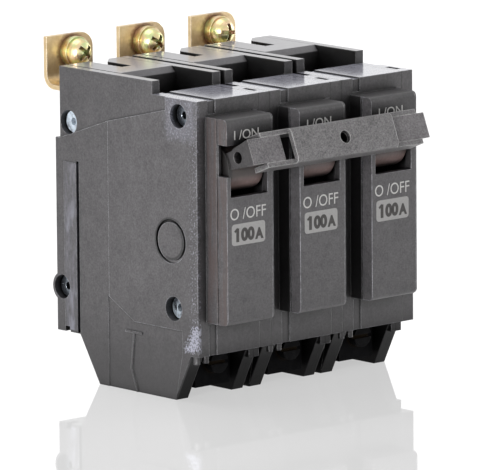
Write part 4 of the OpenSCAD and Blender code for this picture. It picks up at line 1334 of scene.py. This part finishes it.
@dataclass
class Finishes:
    """The finish of every CAD node, by the start of its name.

    Attributes:
        seat: Planes of the row.
        head_mm: How far in from the left side a rivet's head can get a painted glint.
        heads_mm: Distance from the front, and from the top, to the middle between the heads.
    """

    seat: Seat
    head_mm: float = 5
    heads_mm: float = 30

    def table(self) -> dict[str, Any]:
        """Lists the finishes.

        Returns:
            Each finish by the start of the names of the nodes that have it.
        """
        seat = self.seat
        left, front, top, pitch = (v / MM for v in (seat.left_x, seat.front_y, seat.top_z, seat.pitch))
        case = CaseMoulding(
            "case_moulding", shade(80, 78, 80), shade(176, 176, 182), speckle=1.6, left_x=left, front_y=front,
            shoulder_z=top - SHOULDER_MM, deck_z=top, pitch=pitch, ring=seat.trip)
        tie = Moulding(
            "tie_moulding", shade(106, 104, 105), shade(196, 195, 194), rough=0.42, grain_mm=0.4,
            grain_depth_mm=0.03, wear=2.0, speckle=3.0, corner_shade_mm=1.6)
        handle = HandleMoulding(
            "handle_moulding", shade(104, 101, 103), shade(188, 186, 185), rough=0.44, grain_mm=0.45,
            grain_depth_mm=0.03, edge_mm=0.35, wear=0.9, speckle=3.0, corner_shade_mm=1.6, pivot=seat.pivot,
            middle=left + seat.pole_mid, pitch=pitch)
        brass = StrapMetal(
            "strap_brass", shade(214, 192, 154), shade(194, 170, 132), shade(248, 242, 226), rough=0.45,
            screw=(seat.stud[0] / MM, seat.stud[2] / MM), pitch=pitch)
        zinc = ZincPlate(
            "yellow_zinc", shade(220, 202, 146), shade(204, 198, 150), shade(248, 242, 220),
            scratch=(1, 1, 1), recess_tone=shade(112, 84, 36))
        rivet = RivetMetal(
            "rivet_steel", shade(128, 134, 142), shade(96, 102, 110), shade(180, 188, 196), rough=0.25,
            # The rivets' near-black recess colour is painted shade in their sinks.
            recess_tone=shade(30, 31, 34), bright=(left + self.head_mm, front + self.heads_mm, top - self.heads_mm))
        steel = Metal("plated_steel", shade(176, 178, 180), shade(150, 152, 156), shade(220, 221, 223), 0.32)
        copper = Metal("copper", shade(196, 122, 88), shade(170, 98, 68), shade(226, 166, 132), 0.35)
        silver = Metal("contact_silver", shade(212, 210, 205), shade(188, 186, 180), shade(236, 235, 232))
        spring = Metal("spring_steel", shade(140, 142, 146), shade(118, 120, 124), shade(190, 192, 195), 0.25)
        strip = Metal("bimetal_strip", shade(190, 172, 136), shade(164, 150, 122), shade(214, 200, 170))
        iron = Metal("magnet_iron", shade(96, 98, 102), shade(78, 80, 84), shade(140, 142, 146), 0.45)
        return {
            "case_base": case, "case_cover": case, "handle_tie": tie, "handle": handle,
            "trip_bar": Moulding("trip_moulding", shade(104, 62, 44), shade(150, 110, 92)),
            "arc_sides": Moulding("fibre", shade(150, 104, 78), shade(180, 140, 110), rough=0.7,
                                  grain_depth_mm=0.03),
            "contact_arm": copper, "braid": copper, "moving_contact": silver, "fixed_contacts": silver,
            "cradle": steel, "armature": steel, "arc_plates": steel, "main_spring": spring,
            "trip_spring": spring, "bimetal": strip, "magnet_yoke": iron, "line_strap": brass,
            "load_strap": brass,
            # The lug and its screw are near black: painted shade, as they sit deep in the dark hollows under
            # the skirt.
            "lug_screw": Metal("dark_steel", shade(16, 16, 17), shade(12, 12, 13), shade(34, 34, 36), 0.6),
            "lug": Metal("lug_aluminium", shade(14, 14, 15), shade(11, 11, 12), shade(26, 26, 28), 0.7),
            "case_rivets": rivet, "line_screws": zinc, "line_lock_washers": zinc, "line_washers": zinc}

    def build(self) -> dict[str, bpy.types.Material]:
        """Gives each CAD node its finish.

        Returns:
            The materials by name.
        """
        finishes = self.table()
        made: dict[str, bpy.types.Material] = {}
        for name, node in frame["nodes"].items():
            finish = finishes[max((key for key in finishes if name.startswith(key)), key=len)]
            if finish.name not in made:
                made[finish.name] = finish.material()
            node.data.materials.clear()
            node.data.materials.append(made[finish.name])
            LOG.info("%s: %s", name, finish.name)
        return made


@dataclass(frozen=True)
class SoftBox:
    """A soft lamp that faces the object.

    Attributes:
        name: The lamp's name.
        place: Where it hangs, in metres.
        size: Width and height of its face, in metres.
        power: Its power in watts.
        aim: The point that it faces.
    """

    name: str
    place: Point
    size: Pair
    power: float
    aim: Point = (0, 0, 0.045)

    def build(self) -> None:
        """Hangs the lamp."""
        light = bpy.data.lights.new(self.name, "AREA")
        light.shape = "RECTANGLE"
        light.size, light.size_y = self.size
        light.energy = self.power
        box = bpy.data.objects.new(self.name, light)
        bpy.context.scene.collection.objects.link(box)
        way = Vector(self.aim) - Vector(self.place)
        turn = way.to_track_quat("-Z", "Y").to_matrix().to_4x4()
        box.matrix_world = Matrix.Translation(Vector(self.place)) @ turn


@dataclass
class Studio:
    """The camera, the pale floor and the soft light.

    Attributes:
        back: Direction from the object to the camera.
        right: Direction to the right in the picture.
        spot: The camera's place.
        lens: Focal length in millimetres.
        sensor: Width of the sensor in millimetres.
        clip: Nearest and farthest distance that the camera sees.
        shine: Share of a mirror image in the floor.
        polish: Roughness of that mirror image.
        grey: The floor's own grey.
        lift: Light that the floor itself shows.
        floor_r: Radius of the floor.
        sky: Strength of the surroundings as light.
        lamps: The soft boxes.
    """

    back: Point = (-0.66106439, -0.72944089, 0.17581201)
    right: Point = (0.74004564, -0.67251341, -0.00762722)
    spot: Point = (-1.32397, -1.466339, 0.38908)
    lens: float = 549.772
    sensor: float = 36
    clip: Pair = (0.05, 50)
    shine: float = 0.45
    polish: float = 0.02
    grey: float = 0.4
    lift: float = 0.96
    floor_r: float = 3
    sky: float = 0.12
    lamps: tuple[SoftBox, ...] = (
        SoftBox("left_strip", (-0.828, -0.352, 0.16), (0.13, 0.36), 6.6),
        SoftBox("front_box", (0.12, -0.9, 0.12), (0.4, 0.3), 1.0),
        SoftBox("right_box", (0.88, -0.12, 0.3), (0.4, 0.4), 3.0),
        SoftBox("back_box", (0.05, 0.9, 0.3), (0.4, 0.3), 4.0),
        SoftBox("top_box", (0.0, 0.2, 0.95), (0.7, 0.7), 2.6))

    def camera(self) -> None:
        """Adds the camera at the picture's angle."""
        lens = bpy.data.cameras.new("camera")
        lens.sensor_fit = "HORIZONTAL"
        lens.sensor_width = self.sensor
        lens.lens = self.lens
        lens.clip_start, lens.clip_end = self.clip
        eye = bpy.data.objects.new("camera", lens)
        bpy.context.scene.collection.objects.link(eye)
        back, right = Vector(self.back).normalized(), Vector(self.right).normalized()
        up = back.cross(right)
        turn = Matrix((right, up, back)).transposed().to_4x4()
        eye.matrix_world = Matrix.Translation(Vector(self.spot)) @ turn
        bpy.context.scene.camera = eye

    def seen(self, paint: Paint) -> Sock:
        """Marks the rays that show the surroundings: from the camera, from gloss and through glass."""
        kinds = ("Is Camera Ray", "Is Glossy Ray", "Is Transmission Ray")
        return functools.reduce(Sock.most, [paint.node("ShaderNodeLightPath", out=kind) for kind in kinds])

    def floor(self) -> None:
        """Adds the pale floor, which shows the object's shadow and a faint mirror image."""
        Workshop.clear()
        bpy.ops.mesh.primitive_circle_add(vertices=64, radius=self.floor_r, fill_type="NGON")
        floor = Workshop.name("floor")
        paint = Paint.named("pale_floor")
        pale = paint.node("ShaderNodeBsdfDiffuse", None, {"Color": (self.grey, self.grey, self.grey, 1)})
        lift = paint.node("ShaderNodeEmission", None, {"Strength": self.seen(paint) * self.lift})
        mirror = paint.node("ShaderNodeBsdfGlossy", None, {"Color": (1, 1, 1, 1), "Roughness": self.polish})
        body = paint.node("ShaderNodeAddShader", None, {0: pale, 1: lift})
        paint.close(paint.node("ShaderNodeMixShader", None, {0: self.shine, 1: body, 2: mirror}))
        floor.data.materials.append(paint.owner)

    def surroundings(self) -> None:
        """Makes the surroundings white to look at and softer as light."""
        world = bpy.data.worlds.new("studio")
        bpy.context.scene.world = world
        paint = Paint(world)
        strength = self.sky + self.seen(paint) * (1 - self.sky)
        light = paint.node("ShaderNodeBackground", None, {"Color": (1, 1, 1, 1), "Strength": strength})
        paint.node("ShaderNodeOutputWorld", None, {"Surface": light})

    def build(self) -> None:
        """Builds the whole studio."""
        self.camera()
        self.floor()
        self.surroundings()
        for lamp in self.lamps:
            lamp.build()
        bpy.context.scene.view_settings.view_transform = "Standard"


def corners(box: Sequence[Sequence[float]]) -> list[list[float]]:
    """Gives a box's two corners as plain lists."""
    return [[float(value) for value in corner] for corner in box]


def main() -> None:
    """Builds the studio, the finishes and the pieces."""
    logging.basicConfig(level=logging.INFO, format="%(message)s")
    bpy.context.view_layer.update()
    seat = Seat.read()
    Studio().build()
    finishes = Finishes(seat).build()
    FrontMarks(seat).build()
    ScrewThreads(seat, finishes["yellow_zinc"]).build()
    Springs(finishes["spring_steel"]).build()


if __name__ == "__main__":
    main()
